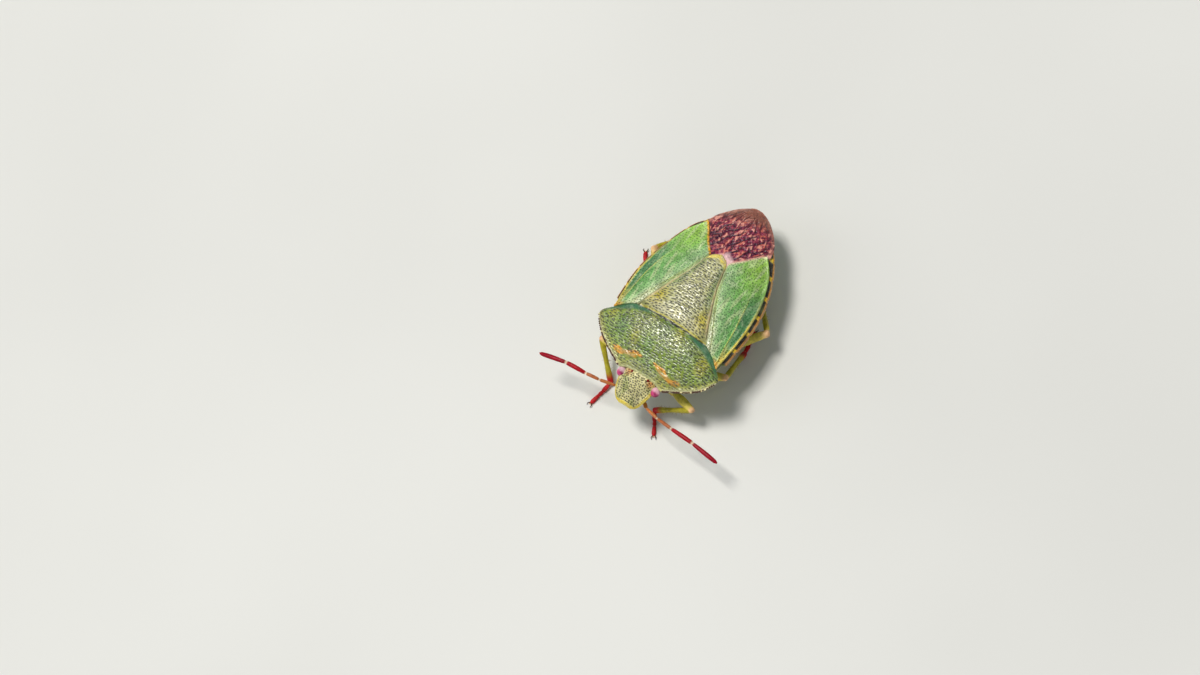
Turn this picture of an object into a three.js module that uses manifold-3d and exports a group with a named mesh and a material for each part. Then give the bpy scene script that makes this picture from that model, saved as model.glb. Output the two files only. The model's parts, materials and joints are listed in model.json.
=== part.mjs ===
// Green shield bug, adult, life-size, standing still on six feet.
// Millimetres, +Z up, head towards -Y, the animal's left side towards +X.
// The floor is z = 0 and the feet stand on it with small flats.
import * as THREE from 'three';
import { mergeVertices } from 'three/addons/utils/BufferGeometryUtils.js';
import Module from 'manifold-3d';

const wasm = await Module();
wasm.setup();

// Driving sizes, in mm.
const HEAD_FRONT = -6.3; // tip of the head
const WING_TIP = 6.75; // tip of the wing membranes
const COLLAR = -4.55; // front edge of the pronotum on the middle line
const SHOULDER_X = 3.9; // half the width across the shoulder angles
const SHOULDER_Y = -2.85; // where the shoulder angles are
const SHIELD_BASE = -1.45; // where the scutellum meets the pronotum
const SHIELD_HALF = 2.25; // half the width of the scutellum at its base
const SHIELD_TIP = 3.35; // rounded tip of the scutellum
const BACK_HEIGHT = 4.6; // highest point of the back over the floor
const BELLY_HEIGHT = 0.95; // lowest point of the belly over the floor
const PLATE = 0.5; // thickness of the back plates and wings
const GAP = 0.11; // gap kept between neighbouring pieces
const HEAD_HALF = 1.05; // half the width of the head in front of the eyes
const EYE = { x: 1.15, y: -4.92, z: 3.28, rx: 0.26, ry: 0.29, rz: 0.28 };
const FEELER = 0.25; // radius of a feeler
const FEMUR = 0.36; // radius of a thigh at its thickest
const TIBIA = 0.25; // radius of a shin
const FOOT = 0.25; // radius of a foot

// A smooth function through a few (position, value) pairs, without overshoot.
function smooth(pairs) {
  const n = pairs.length;
  const slope = [];
  for (let i = 0; i < n - 1; i += 1) {
    slope.push((pairs[i + 1][1] - pairs[i][1]) / (pairs[i + 1][0] - pairs[i][0]));
  }
  const tangent = pairs.map((_, i) => {
    if (i === 0) return slope[0];
    if (i === n - 1) return slope[n - 2];
    if (slope[i - 1] * slope[i] <= 0) return 0;
    return (2 * slope[i - 1] * slope[i]) / (slope[i - 1] + slope[i]);
  });
  return (t) => {
    const at = Math.min(Math.max(t, pairs[0][0]), pairs[n - 1][0]);
    let i = 0;
    while (i < n - 2 && at > pairs[i + 1][0]) i += 1;
    const h = pairs[i + 1][0] - pairs[i][0];
    const s = (at - pairs[i][0]) / h;
    const a = (1 + 2 * s) * (1 - s) * (1 - s) * pairs[i][1];
    const b = s * (1 - s) * (1 - s) * h * tangent[i];
    const c = s * s * (3 - 2 * s) * pairs[i + 1][1];
    const d = s * s * (s - 1) * h * tangent[i + 1];
    return a + b + c + d;
  };
}

// A smooth bump of height 1 at centre and 0 from width away.
function bump(t, centre, width) {
  const s = Math.abs(t - centre) / width;
  return s >= 1 ? 0 : 0.5 + 0.5 * Math.cos(Math.PI * s);
}

// Height of the back along the middle line, and along its side edges.
const middleZ = smooth([
  [-4.7, 3.72], [-4.0, 4.08], [-3.0, 4.42], [-1.8, BACK_HEIGHT], [0.5, 4.55],
  [2.2, 4.25], [3.4, 3.98], [5.0, 3.62], [WING_TIP, 3.2],
]);
const edgeZ = smooth([
  [-4.7, 3.5], [-3.8, 3.72], [SHOULDER_Y, 4.02], [-1.8, 3.85], [-0.5, 3.72],
  [0.8, 3.5], [2.6, 3.14], [4.8, 3.12], [WING_TIP, 3.06],
]);
// Half the width of the body at each station, out to the side rim of the abdomen.
const bodyHalf = smooth([
  [-4.7, 1.55], [-3.9, 2.95], [SHOULDER_Y, SHOULDER_X], [-2.2, 3.62], [-1.2, 3.7],
  [0.2, 3.76], [1.5, 3.63], [2.7, 3.33], [3.7, 2.95], [4.6, 2.44], [5.5, 1.68],
  [6.1, 1.08], [WING_TIP, 0.5],
]);

// Height of the back at a point.
function back(x, y) {
  const across = Math.min(Math.abs(x) / bodyHalf(y), 1.2);
  return middleZ(y) - (middleZ(y) - edgeZ(y)) * Math.pow(across, 2.3);
}

// A closed mesh as a solid, its shared corners merged.
function toSolid(geometry) {
  const bare = geometry.clone();
  bare.deleteAttribute('normal');
  bare.deleteAttribute('uv');
  const merged = mergeVertices(bare, 1e-5);
  const index = Array.from(merged.index.array);
  const kept = [];
  for (let i = 0; i < index.length; i += 3) {
    const [a, b, c] = [index[i], index[i + 1], index[i + 2]];
    if (a !== b && b !== c && c !== a) kept.push(a, b, c);
  }
  return new wasm.Manifold(new wasm.Mesh({
    numProp: 3,
    vertProperties: new Float32Array(merged.attributes.position.array),
    triVerts: new Uint32Array(kept),
  }));
}

// The largest closed surface of a solid, with its shortest edges taken out.
function largest(solid) {
  const parts = solid.simplify(0.006).decompose();
  parts.sort((a, b) => b.volume() - a.volume());
  return parts[0];
}

function toGeometry(solid) {
  const mesh = solid.getMesh();
  const geometry = new THREE.BufferGeometry();
  const position = new Float32Array(mesh.numVert * 3);
  for (let i = 0; i < mesh.numVert; i += 1) {
    for (let k = 0; k < 3; k += 1) {
      position[i * 3 + k] = mesh.vertProperties[i * mesh.numProp + k];
    }
  }
  geometry.setAttribute('position', new THREE.BufferAttribute(position, 3));
  geometry.setIndex(Array.from(mesh.triVerts));
  geometry.computeVertexNormals();
  return geometry;
}

function less(solid, ...others) {
  return others.reduce((left, other) => left.subtract(other), solid);
}

function joined(...solids) {
  return solids.reduce((all, one) => all.add(one));
}

// A closed plate over a grid. x runs from x0 to x1; y from front(x) to rear(x).
// top and bottom give the height from (x, y, u, v). grow makes it larger all round.
function plate({ x0, x1, front, rear, top, bottom, nu, nv, ease = 0 }, grow = 0) {
  const row = nu + 1;
  const position = [];
  for (let side = 0; side < 2; side += 1) {
    for (let j = 0; j <= nv; j += 1) {
      for (let i = 0; i <= nu; i += 1) {
        const t = i / nu;
        const u = t - ease * Math.sin(2 * Math.PI * t) / (2 * Math.PI);
        const v = j / nv;
        const inner = x0 + (x1 - x0) * u;
        const y0 = front(inner);
        const y1 = rear(inner);
        const inY = y0 + (y1 - y0) * v;
        const x = inner + grow * (2 * u - 1);
        const y = inY + grow * (2 * v - 1);
        const z = side === 0 ? top(inner, inY, u, v) + grow : bottom(inner, inY, u, v) - grow;
        position.push(x, y, z);
      }
    }
  }
  const below = row * (nv + 1);
  const index = [];
  const quad = (a, b, c, d) => index.push(a, b, c, a, c, d);
  for (let j = 0; j < nv; j += 1) {
    for (let i = 0; i < nu; i += 1) {
      const a = j * row + i;
      quad(a, a + 1, a + row + 1, a + row);
      quad(below + a, below + a + row, below + a + row + 1, below + a + 1);
    }
  }
  for (let i = 0; i < nu; i += 1) {
    const f = i;
    const r = nv * row + i;
    quad(f, below + f, below + f + 1, f + 1);
    quad(r + 1, below + r + 1, below + r, r);
  }
  for (let j = 0; j < nv; j += 1) {
    const l = j * row;
    const r = j * row + nu;
    quad(l + row, below + l + row, below + l, l);
    quad(r, below + r, below + r + row, r + row);
  }
  const geometry = new THREE.BufferGeometry();
  geometry.setAttribute('position', new THREE.Float32BufferAttribute(position, 3));
  geometry.setIndex(index);
  return toSolid(geometry);
}

// A round limb along a curve through points, its radius given along the way.
function limb(points, radius, steps, sides, flat = 1) {
  const curve = new THREE.CatmullRomCurve3(points.map((p) => new THREE.Vector3(...p)), false, 'centripetal');
  const frames = curve.computeFrenetFrames(steps, false);
  const position = [];
  for (let j = 0; j <= steps; j += 1) {
    const centre = curve.getPointAt(j / steps);
    const r = radius(j / steps);
    for (let i = 0; i < sides; i += 1) {
      const a = (2 * Math.PI * i) / sides;
      const p = centre.clone();
      p.addScaledVector(frames.normals[j], Math.cos(a) * r);
      p.addScaledVector(frames.binormals[j], Math.sin(a) * r * flat);
      position.push(p.x, p.y, p.z);
    }
  }
  const start = curve.getPointAt(0);
  const end = curve.getPointAt(1);
  position.push(start.x, start.y, start.z, end.x, end.y, end.z);
  const first = (steps + 1) * sides;
  const index = [];
  for (let i = 0; i < sides; i += 1) {
    const k = (i + 1) % sides;
    for (let j = 0; j < steps; j += 1) {
      const a = j * sides;
      index.push(a + i, a + k, a + sides + k, a + i, a + sides + k, a + sides + i);
    }
    const last = steps * sides;
    index.push(first, k, i);
    index.push(first + 1, last + i, last + k);
  }
  const geometry = new THREE.BufferGeometry();
  geometry.setAttribute('position', new THREE.Float32BufferAttribute(position, 3));
  geometry.setIndex(index);
  return toSolid(geometry);
}

function ball(centre, radii, around = 16, down = 10) {
  const geometry = new THREE.SphereGeometry(1, around, down);
  geometry.scale(...radii);
  geometry.translate(...centre);
  return toSolid(geometry);
}

// Side margin of the pronotum: from its front corner to the shoulder, as y of |x|.
const pronotumFront = smooth([
  [0, COLLAR], [0.9, COLLAR - 0.03], [1.4, -4.72], [1.85, -4.52], [2.6, -4.14],
  [3.2, -3.74], [3.65, -3.3], [SHOULDER_X, SHOULDER_Y - 0.08],
]);
const pronotumRear = smooth([
  [0, SHIELD_BASE], [SHIELD_HALF, SHIELD_BASE - 0.06], [2.9, -1.82], [3.45, -2.25],
  [3.75, -2.52], [SHOULDER_X, SHOULDER_Y + 0.14],
]);
const pronotumShape = {
  x0: -SHOULDER_X,
  x1: SHOULDER_X,
  nu: 22,
  nv: 11,
  ease: 0.5,
  front: (x) => pronotumFront(Math.abs(x)),
  rear: (x) => pronotumRear(Math.abs(x)),
  top: (x, y, u, v) => {
    const callus = bump(Math.abs(x), 1.15, 0.75) * bump(y, -4.02, 0.4);
    const rim = bump(v, 0, 0.12) * 0.07;
    const furrow = bump(y, -3.55, 0.3) * bump(Math.abs(x), 0, 2.8);
    return back(x, y) + 0.05 * callus + rim - 0.05 * furrow;
  },
  bottom: (x, y, u, v) => {
    const out = Math.pow(Math.abs(x) / SHOULDER_X, 2);
    const margin = Math.abs(x) > 1.3 ? bump(v, 0, 0.3) : 0;
    return back(x, y) - PLATE * (1.02 - 0.42 * Math.max(out, margin));
  },
};

const shieldHalf = smooth([
  [SHIELD_BASE - 0.1, SHIELD_HALF + 0.05], [-0.5, 1.83], [0.6, 1.36], [1.6, 0.96],
  [2.4, 0.72], [2.95, 0.56], [3.2, 0.38], [SHIELD_TIP, 0.1],
]);
// The scutellum is laid out along its length, so its grid is turned: u runs down the body.
function shield(grow) {
  const shape = {
    x0: SHIELD_BASE - 0.1,
    x1: SHIELD_TIP,
    nu: 22,
    nv: 12,
    front: (y) => -shieldHalf(y),
    rear: (y) => shieldHalf(y),
    top: (y, x) => {
      const across = x / shieldHalf(y);
      const swell = bump(y, -1.0, 1.5) * bump(x, 0, 2.0) * 0.08;
      const corner = bump(Math.abs(x), 1.9, 0.4) * bump(y, -1.35, 0.45) * 0.1;
      return back(x, y) + 0.14 - 0.1 * across * across + swell - corner;
    },
    bottom: (y, x) => back(x, y) - PLATE * 0.72,
  };
  return turned(plate(shape, grow));
}

// Swaps x and y of a solid and keeps its faces outward.
function turned(solid) {
  return solid.mirror([1, -1, 0]);
}

// Outer edge of a forewing's leathery part, inside the rim of the abdomen.
const RIM = 0.25;
const wingOuter = (y) => bodyHalf(y) - RIM;
const wingInner = (y) => Math.max(shieldHalf(y) + GAP, 0.58);
// The hind edge of the leathery part slants back from beside the shield's tip.
const hindEdge = smooth([[0.5, 3.02], [1.2, 3.75], [1.7, 4.4], [2.2, 4.95]]);

function forewing(side, grow) {
  const foreEdge = smooth([[0, -1.4], [SHIELD_HALF, -1.42], [2.9, -1.72], [3.6, -2.3]]);
  const shape = {
    x0: 0,
    x1: 1,
    nu: 12,
    nv: 22,
    front: () => 0,
    rear: () => 1,
    top: () => 0,
    bottom: () => 0,
  };
  const row = shape.nu + 1;
  const position = [];
  for (let face = 0; face < 2; face += 1) {
    for (let j = 0; j <= shape.nv; j += 1) {
      for (let i = 0; i <= shape.nu; i += 1) {
        const u = i / shape.nu;
        const v = j / shape.nv;
        // The inner edge runs from the base to the shield's tip, the outer one to the hind corner.
        const innerY = -1.45 + (3.02 + 1.45) * v;
        const outerY = -2.3 + (4.95 + 2.3) * v;
        const y0 = innerY + (outerY - innerY) * Math.pow(u, 1.25);
        const inX = wingInner(innerY);
        const outX = wingOuter(outerY);
        let x = inX + (outX - inX) * u;
        let y = y0;
        if (v === 1) y = hindEdge(x);
        if (v === 0) y = foreEdge(x);
        const groove = bump(u, 0.25, 0.09) * bump(v, 0.35, 0.6) * 0.06;
        const vein = bump(u, 0.58, 0.09) * bump(v, 0.35, 0.45) * 0.05;
        const edge = bump(u, 1, 0.1) * 0.04;
        const top = back(x, y) - 0.02 - groove + vein + edge;
        const thick = PLATE * (0.95 - 0.3 * u * u);
        x += grow * (2 * u - 1);
        y += grow * (2 * v - 1);
        position.push(side * x, y, face === 0 ? top + grow : top - thick - grow);
      }
    }
  }
  return gridSolid(position, row, shape.nv, side < 0);
}

// Closes two stacked grids into one solid.
function gridSolid(position, row, nv, flip) {
  const below = row * (nv + 1);
  const nu = row - 1;
  const index = [];
  const quad = (a, b, c, d) => {
    if (flip) index.push(a, c, b, a, d, c);
    else index.push(a, b, c, a, c, d);
  };
  for (let j = 0; j < nv; j += 1) {
    for (let i = 0; i < nu; i += 1) {
      const a = j * row + i;
      quad(a, a + 1, a + row + 1, a + row);
      quad(below + a, below + a + row, below + a + row + 1, below + a + 1);
    }
  }
  for (let i = 0; i < nu; i += 1) {
    const r = nv * row + i;
    quad(i, below + i, below + i + 1, i + 1);
    quad(r + 1, below + r + 1, below + r, r);
  }
  for (let j = 0; j < nv; j += 1) {
    const l = j * row;
    const r = j * row + nu;
    quad(l + row, below + l + row, below + l, l);
    quad(r, below + r, below + r + row, r + row);
  }
  const geometry = new THREE.BufferGeometry();
  geometry.setAttribute('position', new THREE.Float32BufferAttribute(position, 3));
  geometry.setIndex(index);
  return toSolid(geometry);
}

// Half the width of the two wing membranes together.
const filmHalf = smooth([
  [2.9, 0.75], [3.6, 1.3], [4.3, 1.82], [4.75, 2.1], [5.2, 1.98], [5.8, 1.55],
  [6.3, 1.05], [6.6, 0.62], [WING_TIP, 0.16],
]);
const FILM_VEINS = 7; // raised veins across the membranes

function film(grow) {
  const shape = {
    x0: 2.75,
    x1: WING_TIP,
    nu: 18,
    nv: 28,
    front: (y) => -filmHalf(y),
    rear: (y) => filmHalf(y),
    top: (y, x, u, v) => {
      const wave = Math.pow(0.5 + 0.5 * Math.cos(2 * Math.PI * FILM_VEINS * (v - 0.5)), 3);
      const run = Math.min(1, (1 - u) * 6);
      return back(x, y) - 0.1 + 0.06 * wave * run;
    },
    bottom: (y, x) => back(x, y) - 0.1 - PLATE * 0.72,
  };
  return turned(plate(shape, grow));
}

// Where the upper membrane of the left wing ends over the right one.
const overlap = smooth([[2.4, -0.62], [3.4, -1.2], [4.4, -1.5], [5.4, -1.2], [6.2, -0.7], [7.2, -0.2]]);

function overlapBlock(side, grow) {
  const shape = {
    x0: 2.3,
    x1: 7.3,
    nu: 14,
    nv: 1,
    front: (y) => (side > 0 ? overlap(y) : -6),
    rear: (y) => (side > 0 ? 6 : overlap(y)),
    top: () => 6,
    bottom: () => 1.5,
  };
  return turned(plate(shape, grow));
}

const pronotum = plate(pronotumShape);
const pronotumRoom = plate(pronotumShape, GAP);
const scutellum = largest(less(shield(0), pronotumRoom));
const shieldRoom = shield(GAP);
const wings = {};
const wingRooms = {};
for (const [name, side] of [['left', 1], ['right', -1]]) {
  wings[name] = largest(less(forewing(side, 0), pronotumRoom, shieldRoom));
  wingRooms[name] = forewing(side, GAP);
}
const filmWhole = less(film(0), wingRooms.left, wingRooms.right, shieldRoom);
const filmRoom = film(GAP);
const films = {
  left: largest(filmWhole.intersect(overlapBlock(1, 0))),
  right: largest(less(filmWhole, overlapBlock(1, GAP * 0.8))),
};
const backRooms = [pronotumRoom, shieldRoom, wingRooms.left, wingRooms.right, filmRoom];

const WAIST = -1.75; // where the thorax meets the abdomen underneath
const bellyZ = smooth([
  [-4.7, 1.75], [-4.0, 1.35], [-3.0, 1.2], [WAIST, 1.1], [0, BELLY_HEIGHT],
  [2.5, 1.02], [4.2, 1.3], [5.4, 1.75], [6.3, 2.3],
]);

// Underside: deepest on the middle line, rising to a thin side rim.
function belly(x, y, half) {
  const across = Math.min(Math.abs(x) / half, 1);
  const rim = edgeZ(y) - 0.42;
  return bellyZ(y) + (rim - bellyZ(y)) * Math.pow(across, 2.6);
}

const thoraxHalf = (y) => bodyHalf(y) - 0.3;
function thoraxSolid(grow) {
  const shape = {
    x0: -4.6,
    x1: WAIST,
    nu: 14,
    nv: 16,
    front: (y) => -thoraxHalf(y),
    rear: (y) => thoraxHalf(y),
    top: (y, x) => back(x, y) - 0.2,
    bottom: (y, x) => {
      const seam = (bump(y, -3.35, 0.2) + bump(y, -2.4, 0.2)) * bump(Math.abs(x), 1.9, 1.5);
      const keel = bump(x, 0, 0.32) * 0.12;
      return belly(x, y, thoraxHalf(y) * 1.03) + 0.07 * seam + keel;
    },
  };
  return turned(plate(shape, grow));
}

const SEGMENTS = [-0.75, 0.45, 1.55, 2.7, 3.8, 4.75]; // seams between abdomen segments
const abdomenHalf = (y) => {
  const notch = SEGMENTS.reduce((sum, at) => sum + bump(y, at, 0.16), 0);
  const end = y > 5.9 ? Math.max(0.12, 1 - Math.pow((y - 5.9) / 0.62, 2)) : 1;
  return bodyHalf(y) * end - 0.05 * notch;
};
function abdomenSolid(grow) {
  const shape = {
    x0: WAIST + GAP,
    x1: 6.45,
    nu: 30,
    nv: 14,
    front: (y) => -abdomenHalf(y),
    rear: (y) => abdomenHalf(y),
    top: (y, x) => back(x, y) - 0.05,
    bottom: (y, x) => {
      const seam = SEGMENTS.reduce((sum, at) => sum + bump(y, at, 0.17), 0);
      return belly(x, y, abdomenHalf(y)) + 0.06 * seam;
    },
  };
  return turned(plate(shape, grow));
}

const thorax = largest(less(thoraxSolid(0), ...backRooms));
const thoraxRoom = thoraxSolid(GAP);
const abdomen = largest(less(abdomenSolid(0), ...backRooms, thoraxRoom));
const abdomenRoom = abdomenSolid(GAP);

// The head is a flat disc with a blunt round front, half its width given along the body.
// It is turned a little towards the animal's right.
const headHalf = smooth([
  [HEAD_FRONT, 0.36], [-6.22, 0.56], [-6.05, 0.74], [-5.8, 0.87], [-5.5, 0.98], [-5.2, HEAD_HALF],
  [-4.9, 1.04], [-4.6, 1.0], [-4.2, 0.95],
]);
const headShift = smooth([[HEAD_FRONT, -0.12], [-5.6, -0.09], [-4.6, 0], [-4.2, 0]]);
const headTop = smooth([[HEAD_FRONT, 2.92], [-6.0, 3.16], [-5.5, 3.42], [-5.0, 3.62], [-4.2, 3.86]]);
const headBottom = smooth([[HEAD_FRONT, 2.52], [-5.9, 2.2], [-5.2, 2.0], [-4.2, 2.1]]);
function headSolid(grow) {
  const shape = {
    x0: HEAD_FRONT,
    x1: -4.2,
    nu: 16,
    nv: 14,
    front: (y) => headShift(y) - headHalf(y),
    rear: (y) => headShift(y) + headHalf(y),
    top: (y, x) => {
      const side = Math.abs(x - headShift(y));
      const across = side / headHalf(y);
      const groove = bump(side, 0.3, 0.14) * bump(y, -5.75, 0.6) * 0.07;
      return headTop(y) - (headTop(y) - headTop(y) * 0.9) * Math.pow(across, 2.4) - groove;
    },
    bottom: (y, x) => {
      const across = Math.abs(x - headShift(y)) / headHalf(y);
      const rim = headTop(y) * 0.9 - 0.2;
      return headBottom(y) + Math.max(rim - headBottom(y), 0) * Math.pow(across, 3);
    },
  };
  return turned(plate(shape, grow));
}
const eyes = {};
const eyeRooms = [];
for (const [name, side] of [['left', 1], ['right', -1]]) {
  const centre = [side * EYE.x, EYE.y, EYE.z];
  eyes[name] = largest(less(ball(centre, [EYE.rx, EYE.ry, EYE.rz], 18, 12), pronotumRoom));
  eyeRooms.push(ball(centre, [EYE.rx + GAP, EYE.ry + GAP, EYE.rz + GAP], 16, 10));
}
const head = largest(less(headSolid(0), pronotumRoom, thoraxRoom, ...eyeRooms));
const headRoom = headSolid(GAP);

// The jointed beak, folded back under the head between the front legs.
const beakRadius = smooth([[0, 0.3], [0.25, 0.26], [0.7, 0.22], [1, 0.12]]);
const beak = limb(
  [[0, -5.95, 2.4], [0, -5.5, 1.72], [0, -4.6, 1.3], [0, -3.6, 0.95], [0, -2.7, 0.86]],
  beakRadius, 14, 10,
);
const rostrum = largest(less(beak, headRoom, thoraxRoom));
const beakRoom = limb(
  [[0, -5.95, 2.4], [0, -5.5, 1.72], [0, -4.6, 1.3], [0, -3.6, 0.95], [0, -2.6, 0.86]],
  (t) => beakRadius(t) + GAP, 14, 10,
);

// Feelers have five joints each, listed from the root.
const FEELERS = {
  left: [
    [0.55, -5.5, 2.5], [0.95, -5.8, 2.46], [1.85, -5.99, 2.58],
    [2.87, -6.07, 2.7], [4.34, -6.13, 2.7], [6.12, -6.33, 2.6],
  ],
  right: [
    [-0.6, -5.35, 2.5], [-1.16, -5.65, 2.55], [-2.08, -5.9, 2.8],
    [-2.89, -6.01, 2.9], [-4.15, -6.09, 3.0], [-5.79, -6.43, 2.9],
  ],
};
function feeler(points) {
  const pieces = [];
  for (let i = 0; i < points.length - 1; i += 1) {
    const from = new THREE.Vector3(...points[i]);
    const to = new THREE.Vector3(...points[i + 1]);
    const along = to.clone().sub(from).normalize().multiplyScalar(0.06);
    const a = from.clone().sub(along);
    const b = to.clone().add(along);
    const last = i === points.length - 2;
    const end = last ? [[0.9, 0.7], [1, 0.35]] : [[0.9, 0.97], [1, 0.8]];
    const radius = smooth([[0, 0.8], [0.12, 0.94], [0.6, 1.0], ...end]);
    pieces.push(limb([a.toArray(), b.toArray()], (t) => FEELER * radius(t), 5, 9));
  }
  return joined(...pieces);
}
const feelers = {};
for (const name of ['left', 'right']) {
  feelers[name] = largest(less(feeler(FEELERS[name]), headRoom, ...eyeRooms));
}

// Legs by their coxa, knee, end of the shin and end of the foot.
const LEGS = {
  front_left: {
    coxa: [0.85, -3.95, 1.35], knee: [3.05, -4.5, 1.98],
    shin: [0.72, -5.32, 0.42], foot: [1.42, -6.48, 0.17],
  },
  front_right: {
    coxa: [-0.85, -3.95, 1.35], knee: [-3.66, -3.73, 1.98],
    shin: [-2.3, -5.3, 0.42], foot: [-2.62, -6.8, 0.17],
  },
  middle_left: {
    coxa: [1.0, -2.85, 1.3], knee: [3.56, -1.96, 1.95],
    shin: [3.12, 0.0, 0.42], foot: [2.85, 1.32, 0.17],
  },
  middle_right: {
    coxa: [-1.0, -2.85, 1.3], knee: [-3.45, -1.3, 2.05],
    shin: [-4.3, 0.75, 0.42], foot: [-5.05, 1.95, 0.17],
  },
  hind_left: {
    coxa: [1.15, -1.75, 1.2], knee: [4.1, 1.33, 2.02],
    shin: [1.6, 3.6, 0.42], foot: [0.75, 4.75, 0.17],
  },
  hind_right: {
    coxa: [-1.15, -1.75, 1.2], knee: [-4.1, 2.1, 2.1],
    shin: [-2.5, 4.85, 0.42], foot: [-1.95, 6.15, 0.17],
  },
};

function mix(a, b, t) {
  return a.map((value, i) => value + (b[i] - value) * t);
}

function leg({ coxa, knee, shin, foot }) {
  const hip = mix(coxa, knee, 0.17);
  hip[2] = coxa[2] - 0.12;
  const root = limb([[coxa[0] * 0.92, coxa[1], coxa[2] + 0.45], coxa, hip], () => 0.4, 3, 8);
  const thighSize = smooth([[0, 0.7], [0.15, 0.85], [0.5, 1], [0.85, 0.85], [1, 0.7]]);
  const above = mix(hip, knee, 0.55);
  above[2] += 0.08;
  const thigh = limb([hip, above, knee], (t) => FEMUR * thighSize(t), 6, 8);
  const kneeBall = ball(knee, [0.28, 0.28, 0.28], 8, 6);
  const shinSize = smooth([[0, 1.0], [0.2, 0.92], [0.7, 0.95], [1, 1.05]]);
  const shinMid = mix(knee, shin, 0.5);
  shinMid[2] += 0.07;
  const shinPiece = limb([knee, shinMid, shin], (t) => TIBIA * shinSize(t), 5, 8);
  const footSize = smooth([
    [0, 0.9], [0.3, 1.02], [0.36, 0.85], [0.44, 0.95], [0.56, 0.84], [0.8, 0.98], [1, 0.55],
  ]);
  const ground = [...foot];
  const step = mix(shin, foot, 0.3);
  step[2] = 0.2;
  const footPiece = limb([shin, step, ground], (t) => FOOT * footSize(t), 9, 8, 0.9);
  // Two claws spread from the end of the foot.
  const ahead = new THREE.Vector3(foot[0] - shin[0], foot[1] - shin[1], 0).normalize();
  const sideways = new THREE.Vector3(-ahead.y, ahead.x, 0);
  const claws = [1, -1].map((s) => {
    const root2 = new THREE.Vector3(...foot).addScaledVector(ahead, -0.12);
    const tip = root2.clone().addScaledVector(ahead, 0.42).addScaledVector(sideways, 0.16 * s);
    const bend = root2.clone().lerp(tip, 0.6).addScaledVector(sideways, 0.05 * s);
    bend.z = 0.17;
    tip.z = 0.1;
    return limb([root2.toArray(), bend.toArray(), tip.toArray()], (t) => 0.11 - 0.05 * t, 3, 5);
  });
  return joined(root, thigh, kneeBall, shinPiece, footPiece, ...claws).trimByPlane([0, 0, 1], 0);
}

const legs = {};
for (const [name, joints] of Object.entries(LEGS)) {
  legs[name] = largest(less(leg(joints), thoraxRoom, abdomenRoom, beakRoom));
}

// Colours and gloss of the pieces.
const finishes = {
  pronotum: { color: 0x6f9a3c, roughness: 0.38, metalness: 0 },
  scutellum: { color: 0x8aa84a, roughness: 0.36, metalness: 0 },
  wing: { color: 0x5f9440, roughness: 0.42, metalness: 0 },
  film: { color: 0x5a2a22, roughness: 0.3, metalness: 0 },
  head: { color: 0xa8b45a, roughness: 0.5, metalness: 0 },
  under: { color: 0xa7b85e, roughness: 0.5, metalness: 0 },
  rim: { color: 0x8f9a3a, roughness: 0.45, metalness: 0 },
  eye: { color: 0x9a3f6a, roughness: 0.25, metalness: 0 },
  feeler: { color: 0xc4483a, roughness: 0.45, metalness: 0 },
  leg: { color: 0xa9a03c, roughness: 0.48, metalness: 0 },
};

const group = new THREE.Group();
group.name = 'shield_bug';

function put(name, solid, finish) {
  const mesh = new THREE.Mesh(toGeometry(solid), new THREE.MeshStandardMaterial(finishes[finish]));
  mesh.name = name;
  group.add(mesh);
}

put('pronotum', pronotum, 'pronotum');
put('scutellum', scutellum, 'scutellum');
put('forewing_left', wings.left, 'wing');
put('forewing_right', wings.right, 'wing');
put('membrane_left', films.left, 'film');
put('membrane_right', films.right, 'film');
put('abdomen', abdomen, 'rim');
put('thorax', thorax, 'under');
put('head', head, 'head');
put('eye_left', eyes.left, 'eye');
put('eye_right', eyes.right, 'eye');
put('rostrum', rostrum, 'under');
put('antenna_left', feelers.left, 'feeler');
put('antenna_right', feelers.right, 'feeler');
for (const [name, solid] of Object.entries(legs)) {
  put(`leg_${name}`, solid, 'leg');
}

// The origin is under the middle of the model's outer box, on the floor.
const box = new THREE.Box3().setFromObject(group);
const middle = box.getCenter(new THREE.Vector3());
for (const mesh of group.children) {
  mesh.position.set(-Number(middle.x.toFixed(3)), -Number(middle.y.toFixed(3)), 0);
}

export default group;
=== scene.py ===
"""Dressed model of an adult green shield bug, life-size, standing on its six feet.

Sizes are in millimetres in the modelling frame of the solids: head towards -Y, tail towards +Y,
the animal's left side towards +X, the floor at z = 0. Meshes are put in metres as they are made.
"""

import json
import logging
import math
from dataclasses import dataclass
from enum import Enum
from typing import Callable, Iterable, Sequence

import bmesh
import bpy
import numpy as np
from mathutils import Matrix, Vector

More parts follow.
